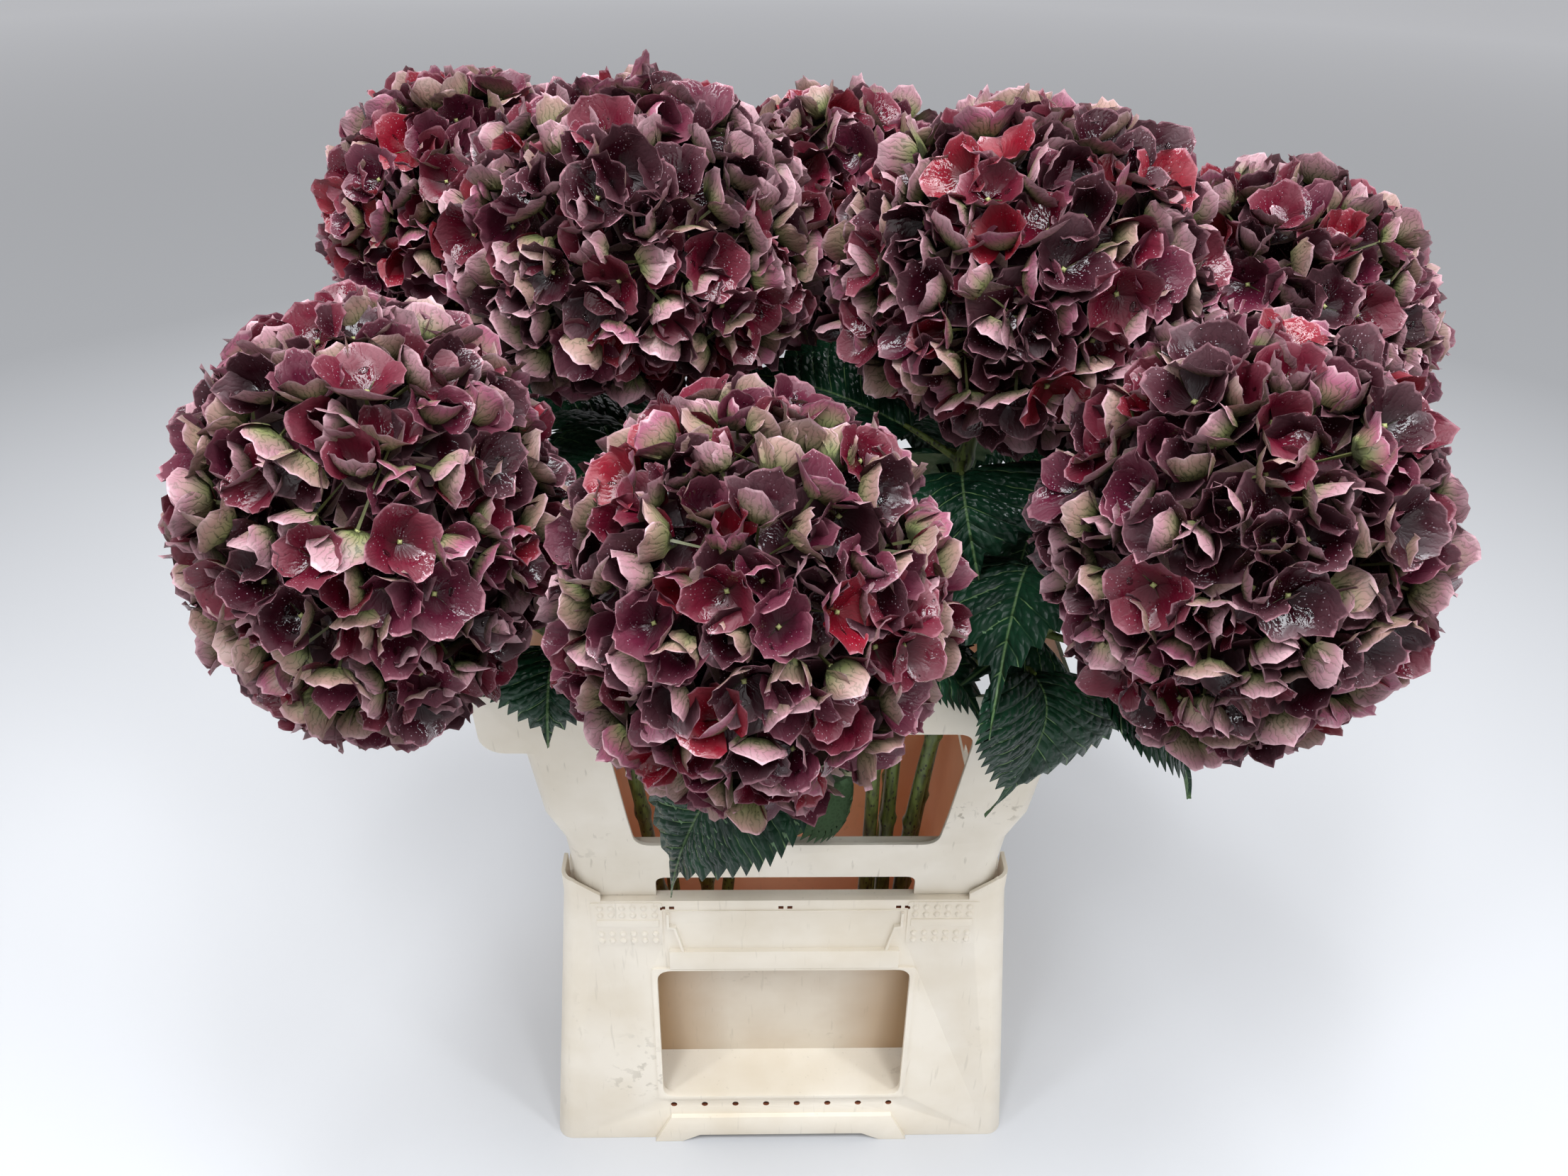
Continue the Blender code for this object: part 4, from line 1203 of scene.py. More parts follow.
def leaf_skin(chosen):
    """Waxy upper skin of a leaf: deep green, glossy in patches, pale veins and rows of puffs."""
    made, add, place, shader = start_material("waxy leaf upper side", {"Specular IOR Level": 0.20})
    split = add(SPLIT, [add("ShaderNodeUVMap", uv_map="surface")])
    along = add(MATH, [split.outputs["X"], UV_METRE], operation="MULTIPLY")
    centred = add(MATH, [split.outputs["Y"], 0.5], operation="SUBTRACT")
    across = add(MATH, [centred, UV_METRE], operation="MULTIPLY")
    # Darker patches about 26 mm wide
    patch = add(NOISE, {"Vector": place, "Scale": 38.0, "Detail": 3.0})
    colour = add(RAMP, [patch], [(0.35, chosen.leaf_shade), (0.65, chosen.leaf)])
    # How far a place lies from its nearest side vein, as a share of their spacing
    run = vein_run(add, along, across, chosen.vein_spacing)
    past = add(MATH, [add(MATH, [run], operation="FRACT"), 0.5], operation="SUBTRACT")
    near = add(MATH, [0.5, add(MATH, [past], operation="ABSOLUTE")], operation="SUBTRACT")
    side = add(RAMP, [near], [(0.016, 1), (0.042, 0)])
    out = add(MATH, [across], operation="ABSOLUTE")
    midrib = add(MATH, [out, MIDRIB_HALF_WIDTH], operation="DIVIDE")
    middle = add(RAMP, [midrib], [(0.35, 1), (1.0, 0)])
    # The side veins show in some stretches, about 17 mm long, and fade in others
    fade = add(NOISE, {"Vector": place, "Scale": 60.0, "Detail": 1.0})
    stretch = add(RAMP, [fade], [(0.50, 0.04), (0.60, 0.55)])
    shown = add(MATH, [side, stretch], operation="MULTIPLY")
    faint = add(MATH, [middle, 0.4], operation="MULTIPLY")
    veins = add(MATH, [shown, faint], operation="MAXIMUM")
    mixed = add(MIX, {"Factor": veins, 6: colour, 7: rgba(chosen.vein)}, data_type="RGBA")
    # The gloss changes over 110 mm, so some leaves are wet and others waxy
    sheen = add(NOISE, {"Vector": place, "Scale": 9.0, "Detail": 1.0})
    # The blade swells in rows of puffs between the side veins, two to each space
    cells = add("ShaderNodeCombineXYZ", [
        add(MATH, [run, 2.0], operation="MULTIPLY"),
        add(MATH, [across, PUFF_WIDTH], operation="DIVIDE")])
    net = add(CELLS, {"Vector": cells, "Scale": 1.0, "Randomness": 0.75}, voronoi_dimensions="2D")
    puff = add(RAMP, [net], [(0.0, 1), (0.30, 0.84), (0.55, 0.42), (0.85, 0)])
    ridge = add(RAMP, [near], [(0.0, 0), (0.10, 0.6), (0.30, 1)])
    raised = add(MATH, [puff, 0.35], operation="ADD")
    height = add(MATH, [raised, ridge], operation="MULTIPLY")
    feed(shader, {
        "Base Color": mixed.outputs[2],
        "Roughness": add(RAMP, [sheen], [(0.42, 0.16), (0.58, 0.40)]),
        "Normal": add(BUMP, {"Height": height, "Strength": 1.0, "Distance": 0.0014}),
    })
    return made


def leaf_underside(chosen):
    """Matt, paler lower side of a leaf, with a network of fine veins about 4 mm apart."""
    made, add, place, shader = start_material(
        "matt leaf underside", {"Roughness": 0.6, "Specular IOR Level": 0.3})
    net = add(CELLS, {"Vector": place, "Scale": 260.0}, feature="DISTANCE_TO_EDGE")
    darker = tuple(c * 0.75 for c in chosen.underside)
    feed(shader, {"Base Color": add(RAMP, [net], [(0.0, chosen.underside), (0.3, darker)])})
    return made


def stem_skin(skin, path, end, chosen, rng, joints):
    """A ribbed stem with swollen joints, each with a ring scar."""
    steps = max(2, round(end / chosen.ring_step))
    distances = [end * i / steps for i in range(steps + 1)]
    phase = rng.uniform(0, math.tau)
    points = [path.at(d) for d in distances]
    radii = []
    for d in distances:
        swell = sum(math.exp(-((d - joint) / JOINT_REACH) ** 2) for joint in joints)
        scar = sum(math.exp(-((d - joint - SCAR_ABOVE) / SCAR_REACH) ** 2) for joint in joints)
        radii.append(path.radius(d) * (1 + 0.34 * swell - 0.10 * scar))

    def wobble(i, angle):
        ribs = 0.035 * math.cos(6 * angle + phase) + 0.02 * math.cos(2 * angle + distances[i] * 31)
        return 1 + ribs
    skin.add(*loft(tube_rings(points, radii, chosen.sides, wobble)))


def joints_of(path, shoot, chosen):
    """Distances along a stem of its joints: those with leaves, and bare ones lower down."""
    found = [path.length - joint.below for joint in shoot.joints]
    below = min(found) - chosen.joint_spacing
    while below > LOWEST_JOINT:
        found.append(below)
        below -= chosen.joint_spacing
    return found


class HYDRANGEA_OT_stems(bpy.types.Operator):
    """Grow the stems through the container up to their flower heads"""

    bl_idname = "hydrangea.stems"
    bl_label = "Stems"

    def execute(self, context):
        chosen = context.scene.hydrangea_stems
        bark = stem_bark(chosen)
        for number, (name, shoot) in enumerate(SHOOTS.items()):
            rng = random.Random(STEM_SEED + number)
            path = Path(stem_path(shoot))
            skin = Skin()
            end = path.length - head_radius(shoot) * HUB_SHARE
            stem_skin(skin, path, end, chosen, rng, joints_of(path, shoot, chosen))
            stem = skin.build("stem_" + name + "_bark", [bark], 60)
            nodes = [n for n in frame["nodes"] if n in ("stem_" + name, "stem_" + name + "_upper")]
            settle(stem, "stem", *nodes)
        return {"FINISHED"}


def leaf_half_width(share):
    """Half width of a blade along its length, as a share of its full width: an oval and a drip tip."""
    oval = math.sin(math.pi * min(share / OVAL_END, 0.999) ** 0.72) ** 0.80
    drip = DRIP_WIDTH * (min(1.0, (1 - share) / (1 - OVAL_END))) ** 0.9
    return 0.5 * max(oval * (1 - 0.05 * share ** 4), drip * smooth(share, 0.5, 0.8))


def smooth(value, low, high):
    """A soft step from 0 to 1 between two values."""
    t = min(max((value - low) / (high - low), 0.0), 1.0)
    return t * t * (3 - 2 * t)


def leaf_blade(skin, root, leaf, chosen, rng):
    """A toothed blade with quilted relief between its veins, on a grooved petiole."""
    over, tip = Vector(leaf.over), Vector(leaf.tip)
    facing = (over - (root + tip) / 2).normalized()
    chords = [bezier(root, over, tip, i / LEAF_CHORDS) for i in range(LEAF_CHORDS + 1)]
    length = sum((b - a).length for a, b in zip(chords, chords[1:]))
    blade_length = length * (1 - PETIOLE_SHARE)
    stations = chosen.teeth * 4
    wave = rng.uniform(0, math.tau)
    upper, lower, uvs = [], [], []
    for i in range(stations + 1):
        share = i / stations
        t = PETIOLE_SHARE + (1 - PETIOLE_SHARE) * share
        centre = bezier(root, over, tip, t)
        along = ((over - root) * (1 - t) + (tip - over) * t).normalized()
        side = along.cross(facing).normalized()
        normal = side.cross(along)
        half = max(leaf.width * leaf_half_width(share), LEAST_HALF_WIDTH)
        tooth = (i % 4) / 3
        a = share * blade_length
        row_u, row_l = [], []
        for column in LEAF_COLUMNS:
            across = column * half
            point_along = 0.0
            edge = abs(column)
            if edge == 1.0 and 0.04 < share < 0.83:
                reach = chosen.tooth * (0.45 + 0.55 * math.sin(math.pi * share)) * tooth
                across += math.copysign(reach, column)
                point_along = reach * 1.1
            b = abs(across)
            phase = (a - b * VEIN_SLOPE + VEIN_CURVE * b * b) / chosen.vein_spacing
            quilt = abs(math.sin(math.pi * phase)) ** 0.7
            fade = smooth(half - b, 0.0, 0.010) * smooth(share, 0.0, 0.08) * (1 - smooth(share, 0.86, 1))
            trough = math.exp(-(b / TROUGH_WIDTH) ** 2)
            lift = chosen.relief * (quilt * fade * (1 - trough) - 0.8 * trough)
            lift += half * LEAF_FOLD * (edge * 1.6 - 0.9 * edge ** 3)
            ruffle = math.sin(a / RUFFLE_LENGTH + wave + (1.3 if column > 0 else 0))
            lift += RUFFLE_HEIGHT * edge ** 2 * ruffle
            place = centre + side * across + normal * lift + along * point_along
            row_u.append(place)
            row_l.append(place - normal * (BLADE_THICKNESS if edge < 1.0 else EDGE_THICKNESS))
            uvs.append((a / UV_METRE, 0.5 + across / UV_METRE))
        upper += row_u
        lower += row_l
    width = len(LEAF_COLUMNS)
    total = len(upper)
    faces, finish = [], []
    for i in range(stations):
        for k in range(width - 1):
            a, b = i * width + k, i * width + k + 1
            c, d = b + width, a + width
            faces += [(a, b, c, d), (total + d, total + c, total + b, total + a)]
            finish += [0, 1]
    ring = [i * width for i in range(stations + 1)]
    ring += [stations * width + k for k in range(1, width)]
    ring += [i * width + width - 1 for i in range(stations - 1, -1, -1)]
    ring += list(range(width - 2, 0, -1))
    for here, there in zip(ring, ring[1:] + ring[:1]):
        faces.append((here, there, total + there, total + here))
        finish.append(0)
    skin.add(upper + lower, faces, finish, uvs + uvs)
    petiole_points = [bezier(root, over, tip, (PETIOLE_SHARE + 0.03) * i / 8) for i in range(9)]
    radii = [PETIOLE_RADIUS - PETIOLE_TAPER * i / 8 for i in range(9)]
    skin.add(*loft(tube_rings(petiole_points, radii, 8)), 2)


def bezier(a, b, c, t):
    """A point of a curve that starts at a, bends towards b and ends at c."""
    return a * (1 - t) ** 2 + b * 2 * t * (1 - t) + c * t ** 2


class HYDRANGEA_OT_leaves(bpy.types.Operator):
    """Grow the toothed leaves at the stems' joints"""

    bl_idname = "hydrangea.leaves"
    bl_label = "Leaves"

    def execute(self, context):
        chosen = context.scene.hydrangea_stems
        materials = [leaf_skin(chosen), leaf_underside(chosen), bpy.data.materials["green stem bark"]]
        for number, (name, shoot) in enumerate(SHOOTS.items()):
            path = Path(stem_path(shoot))
            joints = sorted(shoot.joints, key=lambda joint: -joint.below)
            for order, joint in enumerate(joints):
                rng = random.Random(LEAF_SEED + number * 10 + order)
                skin = Skin()
                root = path.at(path.length - joint.below - LEAF_ROOT_DROP)
                for leaf in joint.leaves + SMALL_LEAVES.get((name, order), []):
                    leaf_blade(skin, root, leaf, chosen, rng)
                suffix = "" if order == len(joints) - 1 else "_lower"
                leaves = skin.build("foliage_" + name + suffix, materials, 80)
                settle(leaves, "leaf", "leaves_" + name + suffix)
        return {"FINISHED"}


def head_radius(shoot):
    """The mean radius of a flower head."""
    return sum(shoot.half_size) / 3


def neighbours(name):
    """Planes that keep a flower head in its own space: a direction and a distance from its middle."""
    shoot = SHOOTS[name]
    centre, radius = Vector(shoot.head), head_radius(shoot)
    planes = []
    for other_name, other in SHOOTS.items():
        apart = Vector(other.head) - centre
        other_radius = head_radius(other)
        if other_name == name or apart.length > (radius + other_radius) * NEIGHBOUR_REACH:
            continue
        span = apart.length
        limit = (span ** 2 + radius ** 2 - other_radius ** 2) / (2 * span)
        planes.append((apart.normalized(), limit - HEAD_CLEARANCE))
    return planes


def underside(direction, axis):
    """The share of its radius that a head keeps towards its flatter underside."""
    tilt = math.degrees(direction.angle(axis))
    share = min(max((tilt - UNDERSIDE_START) / UNDERSIDE_SPAN, 0.0), 1.0)
    return 1 - UNDERSIDE_SHARE * share * share * (3 - 2 * share)


class FlowerSettings(bpy.types.PropertyGroup):
    """Sizes and colours of the flower heads."""

    count: bpy.props.IntProperty(name="Florets", description="Florets in each head", default=216)
    sepal_length: length_property("Sepal length", "From a floret's middle to its margin", 0.0245)
    sepal_width: length_property("Sepal half width", "Half of a sepal's greatest width", 0.0142)
    thickness: length_property("Thickness", "Greatest thickness of a sepal", 0.0006)
    seed: bpy.props.IntProperty(name="Seed", description="Seed of the random turns", default=11)
    wine: colour_property("Wine", "Inner face", "#561021")
    black_wine: colour_property("Black wine", "Darkest inner face", "#2A0A13")
    plum: colour_property("Plum", "Greyer inner face", "#4C1728")
    # Crimson: redder insides, partly a painted glow of light through the thin sepals
    crimson: colour_property("Crimson", "Brightest inner face", "#72101F")
    margin: colour_property("Margin", "Thin pale edge", "#B0808A")
    dusty_pink: colour_property("Dusty pink", "Back of a sepal", "#946A72")
    olive_pink: colour_property("Olive pink", "Back that stayed green", "#8E6E66")
    rose: colour_property("Rose", "Pinker back", "#884A5E")
    base_green: colour_property("Base green", "Green at the foot of the backs", "#70744A")
    # Pale specks painted as glints of light on tiny drops of water
    dew_glint: colour_property("Dew", "Painted glints on water", "#C9B6BE")
    bud: colour_property("Bud", "Small true flower", "#A0A268")
    stalk: colour_property("Stalk", "Floret stalks", "#54552F")


def petal_material(name, stops, vein_colour, veins, margin, roughness, gloss, dew_glint, dew_glint_colour):
    """Living sepal skin: its colour runs from foot to margin, with a fan of veins and a pale edge;
    painted shade at the foot and painted glints are in it.
    """
    wet, dry = roughness
    made, add, place, shader = start_material(name, {"Specular IOR Level": gloss})
    split = add(SPLIT, [add("ShaderNodeUVMap", uv_map="surface")])
    outward, sideways = split.outputs["X"], split.outputs["Y"]
    # How near a place is to the sepal's outline, which counts at its sides only above its foot
    doubled = add(MATH, [sideways, 2.0], operation="MULTIPLY")
    centred = add(MATH, [doubled, 1.0], operation="SUBTRACT")
    aside = add(MATH, [centred], operation="ABSOLUTE")
    raised = add(MATH, [outward, 1.4], operation="MULTIPLY")
    above = add(MATH, [raised, 1.0], operation="MINIMUM")
    beside = add(MATH, [aside, above], operation="MULTIPLY")
    edge = add(MATH, [outward, beside], operation="MAXIMUM")
    # Patches about 30 mm wide shift the run of colour from floret to floret
    patch = add(NOISE, {"Vector": place, "Scale": 34.0, "Detail": 2.0})
    off = add(MATH, [patch, 0.5], operation="SUBTRACT")
    shift = add(MATH, [off, 0.8], operation="MULTIPLY")
    run = add(RAMP, [add(MATH, [edge, shift], operation="ADD")], stops)
    # Veins fan out over each sepal, about 3 mm apart at its widest, and wander
    wander = add(NOISE, {"Vector": place, "Scale": 170.0, "Detail": 3.0})
    fan = add(MATH, [sideways, 8.0], operation="MULTIPLY")
    stray = add(MATH, [wander, 3.6], operation="MULTIPLY")
    bent = add(MATH, [fan, stray], operation="ADD")
    turns = add(MATH, [bent, math.pi], operation="MULTIPLY")
    wave = add(MATH, [add(MATH, [turns], operation="SINE")], operation="ABSOLUTE")
    strength = add(RAMP, [outward], [(0.45, veins), (0.98, veins * 0.25)])
    line = add(RAMP, [wave], [(0.08, 1), (0.55, 0)])
    vein = add(MATH, [line, strength], operation="MULTIPLY")
    veined = add(MIX, {"Factor": vein, 6: run, 7: rgba(vein_colour)}, data_type="RGBA")
    # The pale edge comes and goes with the film of water, whose patches are about 16 mm wide
    film = add(NOISE, {"Vector": place, "Scale": 62.0, "Detail": 1.0})
    astray = add(MATH, [wander, 0.5], operation="SUBTRACT")
    jagged = add(MATH, [astray, 0.16], operation="MULTIPLY")
    ragged = add(MATH, [edge, jagged], operation="ADD")
    at_rim = add(RAMP, [ragged], [(0.930, 0), (0.980, 1)])
    broken = add(RAMP, [film], [(0.40, 0.35), (0.60, 1)])
    rim = add(MATH, [at_rim, broken], operation="MULTIPLY")
    edged = add(MIX, {"Factor": rim, 6: veined.outputs[2], 7: rgba(margin)}, data_type="RGBA")
    # Painted glints: pale specks half a millimetre wide where the film is, for light caught by tiny drops
    # of water
    specks = add(CELLS, {"Vector": place, "Scale": 480.0})
    speck = add(RAMP, [specks], [(0.12, dew_glint), (0.19, 0)])
    filmed = add(RAMP, [film], [(0.44, 0), (0.56, 1)])
    glint_share = add(MATH, [speck, filmed], operation="MULTIPLY")
    glinted = add(MIX, {"Factor": glint_share, 6: edged.outputs[2], 7: rgba(dew_glint_colour)}, data_type="RGBA")
    feed(shader, {
        "Base Color": glinted.outputs[2],
        "Roughness": add(RAMP, [film], [(0.42, dry), (0.54, wet)]),
        "Normal": add(BUMP, {"Height": wave, "Strength": 0.25, "Distance": 0.0004}),
    })
    return made


def blend(one, other, share):
    """A colour between two others."""
    return tuple(a + (b - a) * share for a, b in zip(one, other))


def petal_materials(chosen):
    """One material for each finish of the sepals, in the order of FINISHES."""
    made = []
    black, white = (0, 0, 0), (1, 1, 1)
    pale, green = tuple(chosen.margin), tuple(chosen.base_green)
    for name in FINISHES:
        colour = tuple(getattr(chosen, name))
        if name in INSIDES:
            # The wet insides are darker at their foot, painted shade deep in the cup, and glossy where
            # the film of water is
            stops = [(0.0, blend(colour, black, 0.6)), (0.55, colour), (1.0, blend(colour, pale, 0.12))]
            look = (stops, blend(colour, black, 0.5), 0.35, blend(pale, colour, 0.34), (0.06, 0.50),
                    0.29, 0.4)
        else:
            # The backs stay green at their foot, and matt; right at the foot they darken, painted shade
            # deep in the floret
            stops = [(0.14, blend(green, black, 0.8)), (0.28, green), (0.56, blend(green, colour, 0.6)),
                     (0.80, colour), (1.0, blend(colour, white, 0.06))]
            look = (stops, blend(green, black, 0.72), 0.80, blend(pale, white, 0.10), (0.36, 0.62),
                    0.28, 0.08)
        kind = "wet sepal " if name in INSIDES else "sepal back "
        made.append(petal_material(kind + name, *look, chosen.dew_glint))
    return made


def sepal_form(rng, opening, inner):
    """One sepal's own numbers: how steep it stands, how it waves, and how its rim turns in or out."""
    wall = opening + (10 if inner else -4) + rng.uniform(-10, 10)
    if rng.random() < FOLDED_SHARE:
        wall = rng.uniform(88, 112)
    return {
        "foot_angle": math.radians(rng.uniform(4, 20)),
        "wall_angle": math.radians(wall),
        "lip_angle": math.radians(wall + rng.uniform(*LIP_TURN)),
        "wave": rng.uniform(0.0005, 0.0019),
        "phase": rng.uniform(0, math.tau),
        "turns": rng.uniform(1.6, 3.0),
        "length": rng.uniform(0.84, 1.10),
        "width": rng.uniform(0.86, 1.12),
        "curl": rng.uniform(-0.0012, 0.0014),
        "wrap": rng.uniform(0.28, 0.66),
        "point": rng.choice((0.0, 0.0, 0.05, 0.11, -0.08)),
        "rag": rng.uniform(0.01, 0.05),
        "skew": rng.uniform(-0.14, 0.14),
        "lean": rng.uniform(-0.12, 0.12),
    }


def sepal_point(form, length, half_width, s, t):
    """A place on a sepal's inner face and the way that face looks, in the floret's own frame."""
    # The outline is rounded at the tip, more or less pointed, and ragged
    share = s * (1 - 0.20 * t * t * s * s) + form["point"] * s ** 4 * (1 - abs(t)) ** 1.5
    share += form["rag"] * s ** 3 * math.sin(7 * t + form["phase"])
    rho, rise = SEPAL_FOOT, 0.0
    angle = form["foot_angle"]
    steps = max(1, round(BEND_STEPS * share))
    step = length * form["length"] * share / steps
    for i in range(steps):
        u = (i + 0.5) / steps * share
        angle = form["foot_angle"] + (form["wall_angle"] - form["foot_angle"]) * smooth(u, 0.0, WALL_FULL)
        angle += (form["lip_angle"] - form["wall_angle"]) * smooth(u, LIP_START, 1.0)
        rho += math.cos(angle) * step
        rise += math.sin(angle) * step
    belly = 0.14 + 0.86 * math.sin(math.pi / 2 * min(1.0, s / BROADEST))
    belly -= 0.22 * max(0.0, (s - BROADEST) / (1 - BROADEST)) ** 2
    across = t * half_width * form["width"] * belly * (1 + math.copysign(form["skew"], t * form["skew"]))
    reach = max(rho, LEAST_BEND)
    bend = form["wrap"] * across / reach
    x = rho - reach * (1 - math.cos(bend)) / form["wrap"]
    y = reach * math.sin(bend) / form["wrap"]
    normal = Vector((-math.sin(angle) * math.cos(bend), -math.sin(angle) * math.sin(bend),
                     math.cos(angle)))
    lift = form["wave"] * math.sin(form["turns"] * math.pi * t + form["phase"] + 2.0 * s)
    lift *= max(abs(t), s) ** 3
    lift += form["lean"] * across * smooth(s, 0.2, 0.7)
    lift -= form["curl"] * smooth(max(abs(t) * min(1, 2 * s), s), 0.60, 1.0)
    return Vector((x, y, rise)) + normal * lift, normal


def floret_shape(rng, opening, chosen, inside, back, row_shares, column_shares):
    """A floret of four broad sepals, two over two, and the places of water drops inside it."""
    skin, drops = Skin(), []
    rows, width = len(row_shares), len(column_shares)
    inner_finish, back_finish = FINISHES.index(inside), FINISHES.index(back)
    for k in range(4):
        form = sepal_form(rng, opening, k % 2 == 1)
        turn = Matrix.Rotation(math.tau * k / 4 + rng.uniform(-0.22, 0.22), 3, "Z")
        base = Vector((0, 0, 0.0010 if k % 2 else 0.0))
        upper, lower, uvs = [], [], []
        for s in row_shares:
            for t in column_shares:
                point, normal = sepal_point(form, chosen.sepal_length, chosen.sepal_width, s, t)
                upper.append(turn @ (point + base))
                lower.append(turn @ (point + base - normal * chosen.thickness))
                uvs.append((s, (t + 1) / 2))
        # The two faces share their outline, so only the inner places of the back are new
        verts, number = list(upper), {}
        for r in range(rows):
            for c in range(width):
                i = r * width + c
                if r in (0, rows - 1) or c in (0, width - 1):
                    number[i] = i
                else:
                    number[i] = len(verts)
                    verts.append(lower[i])
                    uvs.append(uvs[i])
        faces, finish = [], []
        for r in range(rows - 1):
            for c in range(width - 1):
                quad = [r * width + c, r * width + c + 1, (r + 1) * width + c + 1, (r + 1) * width + c]
                # Both faces are split along the same diagonal, so that neither cuts the other
                faces.append((quad[2], quad[1], quad[0], quad[3]))
                finish.append(inner_finish)
                faces.append(tuple(number[i] for i in quad))
                finish.append(back_finish)
        skin.add(verts, faces, finish, uvs)
        for radius, stretch in rng.choice(WATER):
            s, t = rng.uniform(0.25, 0.88), rng.uniform(-0.7, 0.7)
            if stretch >= POOL_STRETCH:
                s, t = rng.uniform(0.30, 0.52), rng.uniform(-0.3, 0.3)
            point, normal = sepal_point(form, chosen.sepal_length, chosen.sepal_width, s, t)
            drops.append((turn @ (point + base), turn @ normal, radius, stretch, rng.uniform(0, math.pi)))
    return skin, drops


def drop_skin(drops):
    """Beads and pools of water: low domes that sit on the sepals."""
    skin = Skin()
    for place, normal, radius, stretch, spin in drops:
        turn = normal.to_track_quat("Z", "Y").to_matrix() @ Matrix.Rotation(spin, 3, "Z")
        if stretch >= POOL_STRETCH:
            rings = low_dome((0.0, 0.35, 0.75), 8, 0.30, 0.2)
        else:
            rings = low_dome((0.0, 0.60), 5, 0.80, 0.2)
        skin.add(*loft([
            [place + turn @ (Vector((x * stretch, y, z)) * radius) for x, y, z in ring]
            for ring in rings
        ]))
    return skin


def stalk_shape(rng):
    """A floret's small true flower in its middle, and the thin stalk behind it."""
    skin = Skin()
    bend = rng.uniform(-0.0016, 0.0016)
    points = [Vector((0, 0, 0.0004)), Vector((bend, 0, -0.022)), Vector((0, 0, -0.044))]
    skin.add(*loft(tube_rings(points, [0.0011, 0.0006, 0.0008], 3)), 1)
    # The small true flower is a bead with four lobes
    lean = rng.uniform(0, math.tau)
    rings = []
    for height, radius in ((0.0002, 0.0012), (0.0014, 0.0015), (0.0023, 0.0008)):
        rings.append([
            Vector((math.cos(b), math.sin(b), 0)) * radius * (1 + 0.22 * math.cos(4 * b - 4 * lean))
            + Vector((0, 0, height))
            for b in (lean + math.tau * k / 8 for k in range(8))
        ])
    skin.add(*loft(rings), 0)
    return skin


def family(name, skins, materials):
    """A collection of shape variants for Geometry Nodes to pick from, in the order of their names."""
    group = bpy.data.collections.new(name)
    bpy.context.scene.collection.children.link(group)
    for i, skin in enumerate(skins):
        made = skin.build(f"{name}_{i:03d}", materials, 80)
        layer = made.data.attributes.new("finish", "INT", "FACE")
        layer.data.foreach_set("value", np.array(skin.finish, np.int32))
        bpy.context.scene.collection.objects.unlink(made)
        group.objects.link(made)
    return group


def scatter_tree(name, materials):
    """Geometry Nodes: a picked variant on each point, turned to its facing, each finish in place."""
    tree, add, given = start_tree(name, Points="Geometry", Variants="Collection", Seed="Int")
    shapes = add("GeometryNodeCollectionInfo", {
        "Collection": given["Variants"], "Separate Children": True, "Reset Children": True})
    facing = add(ATTRIBUTE, {"Name": "facing"}, data_type="FLOAT_VECTOR")
    turn = add("FunctionNodeAlignRotationToVector", {"Vector": facing}, axis="Z")
    angle = add("FunctionNodeRandomValue", {3: math.tau, "Seed": given["Seed"]}, data_type="FLOAT")
    about = add("ShaderNodeCombineXYZ", {"Z": angle.outputs[1]})
    spin = add("FunctionNodeEulerToRotation", [about])
    turned = add("FunctionNodeRotateRotation", {"Rotation": turn, "Rotate By": spin},
                 rotation_space="LOCAL")
    copies = add("GeometryNodeInstanceOnPoints", {
        "Points": given["Points"], "Instance": shapes, "Pick Instance": True, "Rotation": turned,
        "Instance Index": add(ATTRIBUTE, {"Name": "variant"}, data_type="INT"),
        "Scale": add(ATTRIBUTE, {"Name": "size"}, data_type="FLOAT")})
    last = add("GeometryNodeRealizeInstances", [copies])
    finish = add(ATTRIBUTE, {"Name": "finish"}, data_type="INT")
    for number, material in enumerate(materials):
        same = add("FunctionNodeCompare", {2: finish, 3: number}, data_type="INT", operation="EQUAL")
        last = add("GeometryNodeSetMaterial", {
            "Geometry": last, "Selection": same, "Material": material})
    add("NodeGroupOutput", [last])
    return tree


def clear_family(group):
    """Removes the variants once the scatter is a plain mesh."""
    for old in list(group.objects):
        bpy.data.objects.remove(old)
    bpy.data.collections.remove(group)


def spiral_way(height, around):
    """The way from a head's middle to a place at a height on the unit sphere, round its axis."""
    level = math.sqrt(1 - height ** 2)
    return Vector((level * math.cos(around), level * math.sin(around), height))


